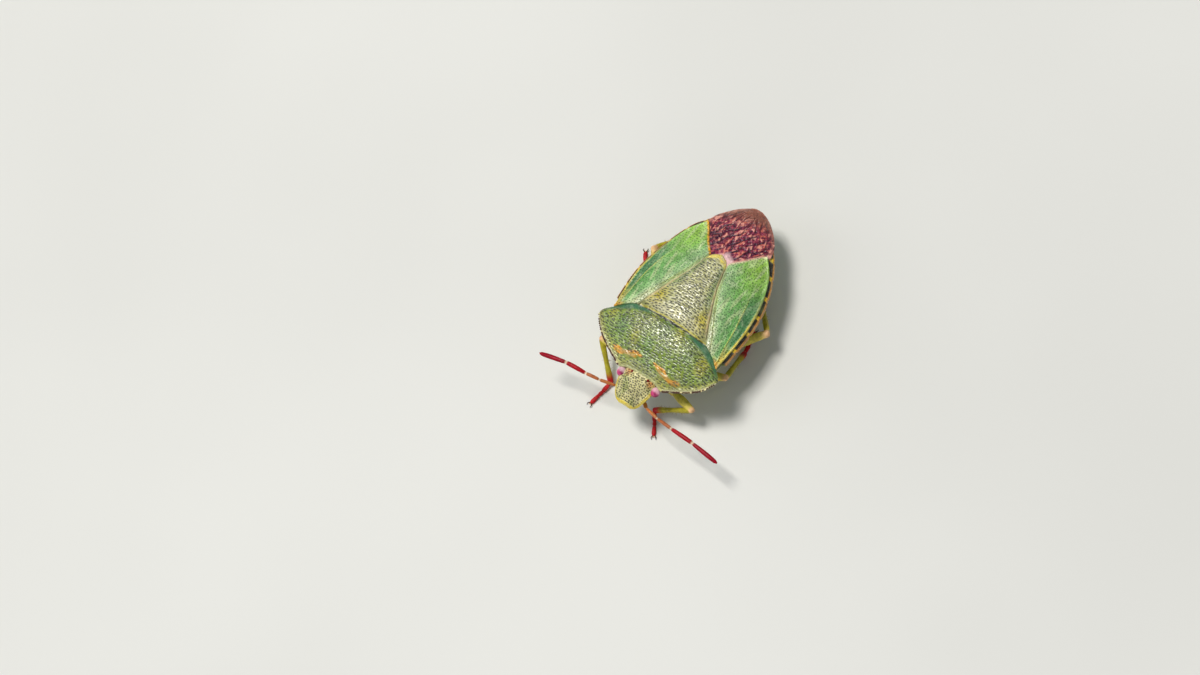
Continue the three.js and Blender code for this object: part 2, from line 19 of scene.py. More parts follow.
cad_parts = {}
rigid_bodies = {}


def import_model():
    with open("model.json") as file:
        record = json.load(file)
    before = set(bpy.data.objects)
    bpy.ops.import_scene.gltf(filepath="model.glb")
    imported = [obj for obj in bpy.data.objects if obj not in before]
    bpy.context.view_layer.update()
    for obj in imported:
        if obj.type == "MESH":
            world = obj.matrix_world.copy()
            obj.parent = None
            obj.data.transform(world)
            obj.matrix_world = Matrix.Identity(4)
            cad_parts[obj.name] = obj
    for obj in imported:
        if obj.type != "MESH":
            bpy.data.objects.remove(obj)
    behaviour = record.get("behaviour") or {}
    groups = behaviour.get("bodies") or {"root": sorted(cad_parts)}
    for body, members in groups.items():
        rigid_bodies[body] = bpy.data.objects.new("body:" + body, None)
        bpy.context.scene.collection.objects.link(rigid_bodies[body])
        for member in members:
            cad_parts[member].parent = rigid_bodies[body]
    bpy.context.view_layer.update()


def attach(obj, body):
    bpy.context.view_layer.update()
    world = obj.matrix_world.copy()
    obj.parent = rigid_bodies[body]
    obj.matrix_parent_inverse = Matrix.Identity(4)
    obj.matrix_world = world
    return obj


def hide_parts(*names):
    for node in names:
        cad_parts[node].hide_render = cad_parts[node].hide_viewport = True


LOG = logging.getLogger("shield_bug")
MM = 0.001  # Metres in a millimetre.
ORIGIN = np.array([-0.162, 0.199, 0.0])  # What moves the modelling frame to the row's frame.
Array = np.ndarray
Paint = Callable[[Array, Array], Array]


# Small numeric helpers.


def srgb(code: str) -> tuple[float, float, float]:
    """Linear colour of a six-digit hex code.

    Args:
        code: Hex digits, red first.

    Returns:
        Three linear channels.
    """
    parts = [int(code[i : i + 2], 16) / 255 for i in (0, 2, 4)]
    low = [p / 12.92 if p <= 0.04045 else ((p + 0.055) / 1.055) ** 2.4 for p in parts]
    return (low[0], low[1], low[2])


def ease(value: Array, start: float, end: float) -> Array:
    """Smooth step from 0 at start to 1 at end.

    Args:
        value: Where to read it.
        start: Where the step begins.
        end: Where it ends, which may be below start.

    Returns:
        Values from 0 to 1.
    """
    t = np.clip((value - start) / (end - start), 0.0, 1.0)
    return t * t * (3 - 2 * t)


def bump(value: Array, centre: float, width: float) -> Array:
    """A rounded hump, 1 at centre and 0 from width away.

    Args:
        value: Where to read it.
        centre: Middle of the hump.
        width: Half its foot.

    Returns:
        Values from 0 to 1.
    """
    s = np.clip(np.abs(value - centre) / width, 0.0, 1.0)
    return 0.5 + 0.5 * np.cos(np.pi * s)


def blend(base: Array, other: Sequence[float], share: Array) -> Array:
    """Mixes colours.

    Args:
        base: Colours, last axis 3.
        other: One colour, or an array of them.
        share: How much of the other, 0 to 1.

    Returns:
        Mixed colours.
    """
    share = np.clip(share, 0.0, 1.0)[..., None]
    return base * (1 - share) + np.asarray(other) * share


def coated(base: Array, code: str, share: Array) -> Array:
    """Lays one colour over others.

    Args:
        base: Colours, last axis 3.
        code: Hex digits of the new colour.
        share: How much of it, 0 to 1.

    Returns:
        Mixed colours.
    """
    return blend(base, srgb(code), share)


def undercoat(x: Array, code: str) -> Array:
    """One colour over a whole grid.

    Args:
        x: Any array of the grid's size.
        code: Hex digits of the colour.

    Returns:
        Linear colours.
    """
    return np.ones(x.shape + (3,)) * np.array(srgb(code))


def joined(x: Array, y: Array, z: Array) -> Array:
    """Points from their three coordinates."""
    return np.stack([x, y, z], axis=-1)


def spread(rows: int, columns: int, crowd: float) -> Array:
    """Shares across a plate, the same in each row, set closer together near its sides.

    Args:
        rows: Rows of the grid.
        columns: Columns of the grid.
        crowd: How much closer, up to 1.

    Returns:
        Shares from about -1 to 1.
    """
    even = np.linspace(-1, 1, columns)[None, :]
    return np.tile(np.sin(even * math.pi / 2 * crowd), (rows, 1))


def ripple(x: Array, y: Array, seed: int, scale: float) -> Array:
    """Cheap smooth noise from a few turned waves.

    Args:
        x: First coordinate.
        y: Second coordinate.
        seed: Fixed seed of the waves.
        scale: Waves per millimetre.

    Returns:
        Values about -1 to 1.
    """
    rng = np.random.default_rng(seed)
    total = np.zeros_like(x, dtype=float)
    for _ in range(7):
        turn = rng.uniform(0, 2 * math.pi)
        pace = scale * rng.uniform(0.6, 1.7) * 2 * math.pi
        total += np.sin((x * math.cos(turn) + y * math.sin(turn)) * pace + rng.uniform(0, 6.3))
    return total / 4.5


@dataclass(frozen=True)
class Profile:
    """A smooth curve through a few (place, value) pairs, without overshoot."""

    pairs: tuple[tuple[float, float], ...]

    def __call__(self, at: Array | float) -> Array:
        """Reads the curve.

        Args:
            at: Places along it.

        Returns:
            Values there.
        """
        x = np.array([p[0] for p in self.pairs])
        y = np.array([p[1] for p in self.pairs])
        slope = np.diff(y) / np.diff(x)
        tangent = np.concatenate([[slope[0]], np.zeros(len(x) - 2), [slope[-1]]])
        for i in range(1, len(x) - 1):
            a, b = slope[i - 1], slope[i]
            tangent[i] = 0.0 if a * b <= 0 else 2 * a * b / (a + b)
        t = np.clip(np.asarray(at, dtype=float), x[0], x[-1])
        i = np.clip(np.searchsorted(x, t, side="right") - 1, 0, len(x) - 2)
        h = x[i + 1] - x[i]
        s = (t - x[i]) / h
        value = (1 + 2 * s) * (1 - s) ** 2 * y[i] + s * (1 - s) ** 2 * h * tangent[i]
        return value + s * s * (3 - 2 * s) * y[i + 1] + s * s * (s - 1) * h * tangent[i + 1]


PIT_DRAWS = 97  # Side of the square of random draws that the pits repeat over.


@dataclass(frozen=True)
class Punctures:
    """Wandering rows of small pits, each set a little off its place in a grid."""

    across: float
    along: float
    length: float
    width: float
    wander: float
    seed: int

    def depth(self, x: Array, y: Array) -> Array:
        """How deep in a pit each place is.

        Args:
            x: Across the plate.
            y: Along the plate.

        Returns:
            0 on the plate, 1 in the middle of a pit.
        """
        y = y + self.wander * ripple(x, y * 0.6, self.seed, 0.42)
        draws = np.random.default_rng(self.seed).random((PIT_DRAWS, PIT_DRAWS, 3))
        row = np.floor(y / self.along).astype(int)
        best = np.zeros_like(x, dtype=float)
        for down in (-1, 0, 1):
            line = row + down
            shift = 0.5 * (line % 2) + 0.31 * (line % 3)
            column = np.floor(x / self.across - shift).astype(int)
            for beside in (-1, 0, 1):
                cell = column + beside
                draw = draws[line % PIT_DRAWS, cell % PIT_DRAWS]
                middle_x = (cell + shift + 0.5 + (draw[..., 0] - 0.5) * 0.8) * self.across
                middle_y = (line + 0.5 + (draw[..., 1] - 0.5) * 0.55) * self.along
                size = 0.65 + 0.6 * draw[..., 2]
                far = np.hypot((x - middle_x) / (self.length * size), (y - middle_y) / self.width)
                best = np.maximum(best, ease(far, 1.0, 0.3))
        return best


# Form shared by all plates.


@dataclass(frozen=True)
class BodyForm:
    """Heights and widths that every plate of the body follows."""

    middle: Profile = Profile(
        (
            (-4.7, 3.72),
            (-4.0, 4.08),
            (-3.0, 4.42),
            (-1.8, 4.6),
            (0.5, 4.55),
            (2.2, 4.25),
            (3.4, 3.98),
            (5.0, 3.62),
            (6.75, 3.2),
        )
    )
    edge: Profile = Profile(
        (
            (-4.7, 3.5),
            (-3.8, 3.72),
            (-2.85, 4.02),
            (-1.8, 3.85),
            (-0.5, 3.72),
            (0.8, 3.5),
            (2.6, 3.14),
            (4.8, 3.12),
            (6.75, 3.06),
        )
    )
    half: Profile = Profile(
        (
            (-4.7, 1.55),
            (-3.9, 2.95),
            (-2.85, 3.9),
            (-2.2, 3.62),
            (-1.2, 3.7),
            (0.2, 3.76),
            (1.5, 3.63),
            (2.7, 3.33),
            (3.7, 2.95),
            (4.6, 2.44),
            (5.5, 1.68),
            (6.1, 1.08),
            (6.75, 0.5),
        )
    )
    belly: Profile = Profile(
        (
            (-4.7, 1.75),
            (-4.0, 1.35),
            (-3.0, 1.2),
            (-1.75, 1.1),
            (0.0, 0.95),
            (2.5, 1.02),
            (4.2, 1.3),
            (5.4, 1.75),
            (6.3, 2.3),
        )
    )
    shield_half: Profile = Profile(
        (
            (-1.55, 2.3),
            (-0.5, 1.83),
            (0.6, 1.36),
            (1.6, 0.96),
            (2.4, 0.72),
            (2.95, 0.56),
            (3.2, 0.38),
            (3.35, 0.1),
        )
    )

    def back(self, x: Array, y: Array) -> Array:
        """Height of the back.

        Args:
            x: Across the body.
            y: Along the body.

        Returns:
            Heights over the floor.
        """
        across = np.minimum(np.abs(x) / self.half(y), 1.2)
        middle = self.middle(y)
        return middle - (middle - self.edge(y)) * across**2.3

    def under(self, x: Array, y: Array, half: Array) -> Array:
        """Height of the underside, deepest on the middle line.

        Args:
            x: Across the body.
            y: Along the body.
            half: Half the width there.

        Returns:
            Heights over the floor.
        """
        across = np.minimum(np.abs(x) / half, 1.0)
        rim = self.edge(y) - 0.42
        low = self.belly(y)
        return low + (rim - low) * across**2.6


FORM = BodyForm()


# Mesh making.


@dataclass
class Skin:
    """Vertices, faces and painted values of one closed surface, in millimetres."""

    points: Array
    faces: list[tuple[int, ...]]
    tint: Array
    gloss: Array

    @staticmethod
    def merged(skins: Iterable["Skin"]) -> "Skin":
        """Puts several skins in one, each still closed.

        Args:
            skins: What to put together.

        Returns:
            One skin.
        """
        listed = list(skins)
        faces: list[tuple[int, ...]] = []
        start = 0
        for skin in listed:
            faces += [tuple(i + start for i in face) for face in skin.faces]
            start += len(skin.points)
        return Skin(
            np.concatenate([s.points for s in listed]),
            faces,
            np.concatenate([s.tint for s in listed]),
            np.concatenate([s.gloss for s in listed]),
        )

    def to_object(self, name: str, material: bpy.types.Material) -> bpy.types.Object:
        """Makes the Blender object, in metres and in the row's frame.

        Args:
            name: The object's name.
            material: Its finish.

        Returns:
            The new object.
        """
        mesh = bpy.data.meshes.new(name)
        placed = (self.points + ORIGIN) * MM
        mesh.from_pydata(placed.tolist(), [], self.faces)
        paint = mesh.attributes.new("tint", "FLOAT_COLOR", "POINT")
        rgba = np.concatenate([self.tint, np.ones((len(self.tint), 1))], axis=1)
        paint.data.foreach_set("color", rgba.astype(np.float32).ravel())
        shine = mesh.attributes.new("gloss", "FLOAT", "POINT")
        shine.data.foreach_set("value", self.gloss.astype(np.float32))
        mesh.shade_smooth()
        mesh.materials.append(material)
        mesh.update()
        made = bpy.data.objects.new(name, mesh)
        bpy.context.scene.collection.objects.link(made)
        return made


def shell(
    upper: Array,
    lower: Array,
    bulge: float,
    tint: Array,
    under: Array,
    gloss: Array,
    rings: int = 5,
) -> Skin:
    """Closes two grids, rows towards the tail and columns towards +X, with a rounded rim.

    Args:
        upper: Upper grid of points.
        lower: Lower grid of points.
        bulge: How far the rim stands out.
        tint: Colours of the upper grid.
        under: Colours of the lower grid.
        gloss: Gloss of the upper grid.
        rings: Rings of vertices round the rim.

    Returns:
        A closed skin.
    """
    rows, cols = upper.shape[:2]
    index = np.arange(rows * cols).reshape(rows, cols)
    loop = np.concatenate([index[0, :], index[1:, -1], index[-1, -2::-1], index[-2:0:-1, 0]])
    top, low = upper.reshape(-1, 3), lower.reshape(-1, 3)
    count = rows * cols
    ahead = np.roll(top[loop], -1, axis=0) - np.roll(top[loop], 1, axis=0)
    out = np.stack([ahead[:, 1], -ahead[:, 0], np.zeros(len(loop))], axis=1)
    out /= np.maximum(np.linalg.norm(out, axis=1, keepdims=True), 1e-9)
    points, paint = [top, low], [tint.reshape(-1, 3), under.reshape(-1, 3)]
    shine = [gloss.reshape(-1), gloss.reshape(-1)]
    loops = [loop]
    for k in range(rings):
        t = (k + 1) / (rings + 1)
        mix = (1 - math.cos(math.pi * t)) / 2
        ring = top[loop] * (1 - mix) + low[loop] * mix
        points.append(ring + out * bulge * math.sin(math.pi * t))
        share = float(ease(np.array(t), 0.3, 0.75))
        paint.append(paint[0][loop] * (1 - share) + paint[1][loop] * share)
        shine.append(shine[0][loop])
        loops.append(2 * count + k * len(loop) + np.arange(len(loop)))
    loops.append(loop + count)
    faces: list[tuple[int, ...]] = []
    a, b = index[:-1, :-1].ravel(), index[:-1, 1:].ravel()
    c, d = index[1:, 1:].ravel(), index[1:, :-1].ravel()
    faces += list(zip(a.tolist(), b.tolist(), c.tolist(), d.tolist()))
    low_quads = zip(*((v + count).tolist() for v in (d, c, b, a)))
    faces += list(low_quads)
    for one, two in zip(loops[:-1], loops[1:]):
        n1, n2 = np.roll(one, -1), np.roll(two, -1)
        faces += list(zip(one.tolist(), two.tolist(), n2.tolist(), n1.tolist()))
    return Skin(np.concatenate(points), faces, np.concatenate(paint), np.concatenate(shine))


def spline(points: Sequence[Sequence[float]], count: int) -> Array:
    """Points along a smooth curve through given ones, evenly spaced.

    Args:
        points: What the curve goes through.
        count: How many to return.

    Returns:
        Array of points.
    """
    p = np.array(points, dtype=float)
    if len(p) == 2:
        return p[0] + (p[1] - p[0]) * np.linspace(0, 1, count)[:, None]
    padded = np.concatenate([[2 * p[0] - p[1]], p, [2 * p[-1] - p[-2]]])
    fine = []
    steps = 24
    for i in range(1, len(padded) - 2):
        a, b, c, d = padded[i - 1 : i + 3]
        t = np.linspace(0, 1, steps, endpoint=False)[:, None]
        part = 2 * b + (c - a) * t + (2 * a - 5 * b + 4 * c - d) * t**2
        fine.append(0.5 * (part + (3 * b - a - 3 * c + d) * t**3))
    line = np.concatenate([*fine, [p[-1]]])
    run = np.concatenate([[0], np.cumsum(np.linalg.norm(np.diff(line, axis=0), axis=1))])
    at = np.linspace(0, run[-1], count)
    return np.stack([np.interp(at, run, line[:, k]) for k in range(3)], axis=1)


def tube(
    points: Sequence[Sequence[float]],
    radius: Callable[[Array], Array],
    paint: Paint,
    steps: int = 40,
    sides: int = 18,
    flat: float = 1.0,
    gloss: float = 0.5,
    cap: float = 0.6,
) -> Skin:
    """A round closed limb along a curve.

    Args:
        points: What its middle line goes through.
        radius: Radius from the share of its length.
        paint: Colour from the share of its length and the turn round it.
        steps: Rings along it.
        sides: Points round it.
        flat: Height of its section over its width.
        gloss: Painted gloss.
        cap: How far its ends are rounded, in radii.

    Returns:
        A closed skin.
    """
    line = spline(points, steps)
    ahead = np.gradient(line, axis=0)
    ahead /= np.linalg.norm(ahead, axis=1, keepdims=True)
    side = np.cross(ahead[0], [0.0, 0.0, 1.0])
    if np.linalg.norm(side) < 1e-3:
        side = np.array([1.0, 0.0, 0.0])
    side /= np.linalg.norm(side)
    share = np.linspace(0, 1, steps)
    size = radius(share)
    rings, where = [], []
    turns = np.linspace(0, 2 * math.pi, sides, endpoint=False)
    for j in range(steps):
        side = side - ahead[j] * np.dot(side, ahead[j])
        side /= np.linalg.norm(side)
        lift = np.cross(side, ahead[j])
        circle = np.cos(turns)[:, None] * side + np.sin(turns)[:, None] * lift * flat
        if j in (0, steps - 1):
            way = -1.0 if j == 0 else 1.0
            order = (0.35, 0.75) if j == 0 else (0.75, 0.35)
            domes = [
                line[j]
                + circle * size[j] * s
                + ahead[j] * way * size[j] * cap * math.sqrt(1 - s * s)
                for s in order
            ]
            body = line[j] + circle * size[j]
            rings += [*domes, body] if j == 0 else [body, *domes]
            where += [share[j]] * 3
        else:
            rings.append(line[j] + circle * size[j])
            where.append(share[j])
    tips = [
        line[0] - ahead[0] * size[0] * cap,
        line[-1] + ahead[-1] * size[-1] * cap,
    ]
    count = len(rings)
    cloud = np.concatenate([*rings, [tips[0]], [tips[1]]])
    index = np.arange(count * sides).reshape(count, sides)
    nxt = np.roll(index, -1, axis=1)
    quads = zip(
        index[:-1].ravel().tolist(),
        index[1:].ravel().tolist(),
        nxt[1:].ravel().tolist(),
        nxt[:-1].ravel().tolist(),
    )
    faces: list[tuple[int, ...]] = list(quads)
    first, last = count * sides, count * sides + 1
    faces += [(first, int(a), int(b)) for a, b in zip(index[0], nxt[0])]
    faces += [(last, int(b), int(a)) for a, b in zip(index[-1], nxt[-1])]
    at = np.repeat(np.array(where), sides)
    angle = np.tile(turns, count)
    tint = paint(np.append(at, [0.0, 1.0]), np.append(angle, [0.0, 0.0]))
    return Skin(cloud, faces, tint, np.full(len(cloud), gloss))


def one_colour(colour: Sequence[float]) -> Paint:
    """A paint that is the same all over.

    Args:
        colour: Linear colour.

    Returns:
        The paint.
    """
    return lambda at, turn: np.tile(np.asarray(colour, dtype=float), (len(at), 1))


# Finishes.


class Board:
    """A shader being wired. Patterns are read in millimetres from Object coordinates."""

    def __init__(self, name: str) -> None:
        """Starts a material with its output and main shader.

        Args:
            name: The material's name.
        """
        self.material = bpy.data.materials.new(name)
        self.material.use_nodes = True
        self.tree = self.material.node_tree
        self.tree.nodes.clear()
        self.shader = self.add("ShaderNodeBsdfPrincipled")
        output = self.add("ShaderNodeOutputMaterial")
        self.tree.links.new(self.shader.outputs["BSDF"], output.inputs["Surface"])
        place = self.add("ShaderNodeTexCoord")
        scale = self.add("ShaderNodeMapping")
        scale.inputs["Scale"].default_value = (1000, 1000, 1000)
        self.join(place.outputs["Object"], scale.inputs["Vector"])
        self.place = scale.outputs["Vector"]

    def add(self, kind: str, **settings: object) -> bpy.types.Node:
        """Adds a node.

        Args:
            kind: Its type name.
            settings: Properties of the node.

        Returns:
            The node.
        """
        node = self.tree.nodes.new(kind)
        for key, value in settings.items():
            setattr(node, key, value)
        return node

    def join(self, start: bpy.types.NodeSocket, end: bpy.types.NodeSocket) -> None:
        """Links two sockets."""
        self.tree.links.new(start, end)

    def stretched(self, scale: Sequence[float]) -> bpy.types.NodeSocket:
        """The place, stretched.

        Args:
            scale: Factors on the three axes.

        Returns:
            The stretched place.
        """
        mapping = self.add("ShaderNodeMapping")
        mapping.inputs["Scale"].default_value = tuple(scale)
        self.join(self.place, mapping.inputs["Vector"])
        return mapping.outputs["Vector"]

    def noise(
        self, scale: float, detail: float = 3.0, place: object = None
    ) -> bpy.types.NodeSocket:
        """Noise over the surface.

        Args:
            scale: Waves per millimetre.
            detail: Octaves.
            place: Where to read it, or the plain place.

        Returns:
            Its value, 0 to 1.
        """
        node = self.add("ShaderNodeTexNoise")
        node.inputs["Scale"].default_value = scale
        node.inputs["Detail"].default_value = detail
        self.join(place or self.place, node.inputs["Vector"])
        return node.outputs["Fac"]

    def cells(self, scale: float, place: object = None) -> bpy.types.NodeSocket:
        """Distance to the middle of the nearest cell.

        Args:
            scale: Cells per millimetre.
            place: Where to read it, or the plain place.

        Returns:
            The distance.
        """
        node = self.add("ShaderNodeTexVoronoi", feature="F1")
        node.inputs["Scale"].default_value = scale
        node.inputs["Randomness"].default_value = 0.85
        self.join(place or self.place, node.inputs["Vector"])
        return node.outputs["Distance"]

    def between(
        self, value: object, start: float, end: float, low: float = 0, high: float = 1
    ) -> bpy.types.NodeSocket:
        """Maps a value smoothly.

        Args:
            value: The socket to map.
            start: What gives low.
            end: What gives high.
            low: First result.
            high: Last result.

        Returns:
            The mapped socket.
        """
        node = self.add("ShaderNodeMapRange", interpolation_type="SMOOTHSTEP")
        for key, number in zip((1, 2, 3, 4), (start, end, low, high)):
            node.inputs[key].default_value = number
        self.join(value, node.inputs[0])
        return node.outputs[0]

    def math(self, kind: str, one: object, two: object) -> bpy.types.NodeSocket:
        """Arithmetic on two values.

        Args:
            kind: The operation.
            one: A socket or number.
            two: A socket or number.

        Returns:
            The result.
        """
        node = self.add("ShaderNodeMath", operation=kind)
        for slot, value in enumerate((one, two)):
            if isinstance(value, (int, float)):
                node.inputs[slot].default_value = value
            else:
                self.join(value, node.inputs[slot])
        return node.outputs[0]

    def grey(self, value: object) -> bpy.types.NodeSocket:
        """A value as a grey.

        Args:
            value: A socket.

        Returns:
            The colour.
        """
        node = self.add("ShaderNodeCombineColor")
        for slot in range(3):
            self.join(value, node.inputs[slot])
        return node.outputs[0]

    def tint(self) -> bpy.types.NodeSocket:
        """The colour painted on the piece."""
        return self.add("ShaderNodeAttribute", attribute_name="tint").outputs["Color"]

    def gloss(self) -> bpy.types.NodeSocket:
        """The gloss painted on the piece."""
        return self.add("ShaderNodeAttribute", attribute_name="gloss").outputs["Fac"]

    def mixed(
        self, share: object, one: object, two: object, kind: str = "MIX"
    ) -> bpy.types.NodeSocket:
        """Mixes two colours.

        Args:
            share: How much of the second.
            one: A socket or linear colour.
            two: A socket or linear colour.
            kind: Blend type.

        Returns:
            The mixed colour.
        """
        node = self.add("ShaderNodeMix", data_type="RGBA", blend_type=kind)
        for slot, value in ((0, share), (6, one), (7, two)):
            if isinstance(value, bpy.types.NodeSocket):
                self.join(value, node.inputs[slot])
            elif isinstance(value, (int, float)):
                node.inputs[slot].default_value = value
            else:
                node.inputs[slot].default_value = (*value, 1.0)
        return node.outputs[2]

    def relief(self, height: object, depth: float, below: object = None) -> bpy.types.NodeSocket:
        """Turns a height into a bump.

        Args:
            height: Height, 0 to 1.
            depth: Depth in millimetres.
            below: A bump to lay it on.

        Returns:
            The bumped normal.
        """
        node = self.add("ShaderNodeBump")
        node.inputs["Distance"].default_value = depth * MM
        self.join(height, node.inputs["Height"])
        if below is not None:
            self.join(below, node.inputs["Normal"])
        return node.outputs["Normal"]

    def finish(
        self, colour: object, roughness: object, normal: object, **constants: float
    ) -> bpy.types.Material:
        """Wires the main shader.

        Args:
            colour: Colour socket.
            roughness: Roughness socket or number.
            normal: Normal socket, or None for a smooth surface.
            constants: Numbers set on the shader's own sockets, by name with _ for spaces.

        Returns:
            The finished material.
        """
        self.join(colour, self.shader.inputs["Base Color"])
        if isinstance(roughness, (int, float)):
            self.shader.inputs["Roughness"].default_value = roughness
        else:
            self.join(roughness, self.shader.inputs["Roughness"])
        if normal is not None:
            self.join(normal, self.shader.inputs["Normal"])
        for key, value in constants.items():
            self.shader.inputs[key.replace("_", " ")].default_value = value
        return self.material


@dataclass(frozen=True)
class Cuticle:
    """Hard glossy shell, with fine grain and wrinkles between the pits, and painted glints: pale
    colour on the wrinkle crests, scaled by the gloss.
    """

    name: str
    grain: float = 11.0
    grain_share: float = 0.3
    grain_depth: float = 0.02
    dark: tuple[float, float, float] = srgb("1c2c0e")
    # Colour and share of the painted glints on the wrinkle crests.
    glint_colour: tuple[float, float, float] = srgb("e9ecc6")
    glint_share: float = 0.3
    wrinkle: tuple[float, float, float] = (2.4, 6.0, 6.0)
    wrinkle_depth: float = 0.06
    dull: float = 0.5
    polish: float = 0.27
    coat: float = 0.1
    shine: float = 0.55

    def material(self) -> bpy.types.Material:
        """Builds the shader.

        Returns:
            The finished material.
        """
        board = Board(self.name)
        fold = board.noise(1.0, 2.5, board.stretched(self.wrinkle))
        grain = board.between(board.cells(self.grain), 0.5, 0.12)
        cloud = board.between(board.noise(1.4, 2.0), 0.32, 0.68, 0.8, 1.16)
        colour = board.mixed(1.0, board.tint(), board.grey(cloud), "MULTIPLY")
        # Painted glints: pale colour on the wrinkle crests, scaled by the gloss attribute.
        glint_mask = board.math("MULTIPLY", board.between(fold, 0.5, 0.66), self.glint_share)
        glint_mask = board.math("MULTIPLY", glint_mask, board.gloss())
        colour = board.mixed(glint_mask, colour, self.glint_colour)
        colour = board.mixed(board.math("MULTIPLY", grain, self.grain_share), colour, self.dark)
        smooth = board.math("MULTIPLY", board.gloss(), self.polish)
        rough = board.math("SUBTRACT", self.dull, smooth)
        normal = board.relief(fold, self.wrinkle_depth)
        normal = board.relief(board.math("SUBTRACT", 1.0, grain), self.grain_depth, normal)
        return board.finish(
            colour,
            rough,
            normal,
            Coat_Weight=self.coat,
            Coat_Roughness=0.2,
            Specular_IOR_Level=self.shine,
        )


@dataclass(frozen=True)
class WingFilm:
    """Thin dark red-brown membrane, with painted glints on its crease crests and painted shade in
    its crease hollows, between its veins.
    """

    name: str

    def material(self) -> bpy.types.Material:
        """Builds the shader.

        Returns:
            The finished material.
        """
        board = Board(self.name)
        crease = board.noise(3.8, 4.0, board.stretched((1.6, 0.9, 1.0)))
        fine = board.noise(12.0, 2.0)
        # Painted glints: pale pink on the crease crests, scaled by the gloss attribute.
        glint = board.math("MULTIPLY", board.between(crease, 0.55, 0.62), board.gloss())
        colour = board.mixed(board.math("MULTIPLY", glint, 0.8), board.tint(), srgb("f4a892"))
        # Painted shade: dark red in the crease hollows, scaled by the gloss attribute.
        dark = board.math("MULTIPLY", board.between(crease, 0.46, 0.38), board.gloss())
        colour = board.mixed(board.math("MULTIPLY", dark, 0.75), colour, srgb("32061c"))
        rough = board.between(fine, 0.3, 0.7, 0.22, 0.36)
        normal = board.relief(crease, 0.12)
        normal = board.relief(fine, 0.03, normal)
        return board.finish(
            colour, rough, normal, Coat_Weight=0.05, Coat_Roughness=0.2, Specular_IOR_Level=0.55
        )


@dataclass(frozen=True)
class EyeGlaze:
    """Glossy faceted eye, magenta, with a pale pink painted highlight towards the back."""

    name: str
    # Where the painted highlight starts and ends along the body.
    highlight_from: float = -4.86
    highlight_to: float = -4.66

    def material(self) -> bpy.types.Material:
        """Builds the shader.

        Returns:
            The finished material.
        """
        board = Board(self.name)
        split = board.add("ShaderNodeSeparateXYZ")
        board.join(board.place, split.inputs[0])
        cloud = board.noise(3.0, 2.0)
        colour = board.mixed(board.between(cloud, 0.4, 0.62), srgb("cc3878"), srgb("861646"))
        # Painted highlight: pale pink towards the back of the eye.
        pale = board.between(split.outputs["Y"], self.highlight_from, self.highlight_to)
        colour = board.mixed(board.math("MULTIPLY", pale, 0.75), colour, srgb("f2cfd6"))
        normal = board.relief(board.noise(14.0, 1.0), 0.004)
        return board.finish(colour, 0.3, normal, Coat_Weight=0.3, Coat_Roughness=0.08)


@dataclass(frozen=True)
class LimbFinish:
    """Smooth painted limb with tiny dark specks and a faint grain."""

    name: str
    specks: float = 9.0
    speck_share: float = 0.4
    roughness: float = 0.4

    def material(self) -> bpy.types.Material:
        """Builds the shader.

        Returns:
            The finished material.
        """
        board = Board(self.name)
        speck = board.between(board.cells(self.specks), 0.22, 0.08)
        tone = board.between(board.noise(4.0, 3.0), 0.3, 0.7, 0.75, 1.15)
        colour = board.mixed(1.0, board.tint(), board.grey(tone), "MULTIPLY")
        colour = board.mixed(
            board.math("MULTIPLY", speck, self.speck_share), colour, srgb("2a1a0c")
        )
        rough = board.math("ADD", board.math("MULTIPLY", speck, 0.2), self.roughness)
        normal = board.relief(board.noise(16.0, 2.0), 0.008)
        return board.finish(colour, rough, normal, Coat_Weight=0.0, Specular_IOR_Level=0.15)


@dataclass(frozen=True)
class PlainGround:
    """Pale matt floor."""

    name: str = "pale_floor"

    def material(self) -> bpy.types.Material:
        """Builds the shader.

        Returns:
            The finished material.
        """
        board = Board(self.name)
        cloud = board.noise(0.02, 3.0)
        colour = board.mixed(board.between(cloud, 0.3, 0.7), srgb("d9d8d2"), srgb("e1e0da"))
        return board.finish(colour, 0.85, None, Specular_IOR_Level=0.2)


# Pieces that repeat, by geometry nodes.


class Socket(Enum):
    """Kinds of named input that a tree may have."""

    NUMBER = "NodeSocketFloat"
    COUNT = "NodeSocketInt"
    SHAPE = "NodeSocketGeometry"
    FINISH = "NodeSocketMaterial"


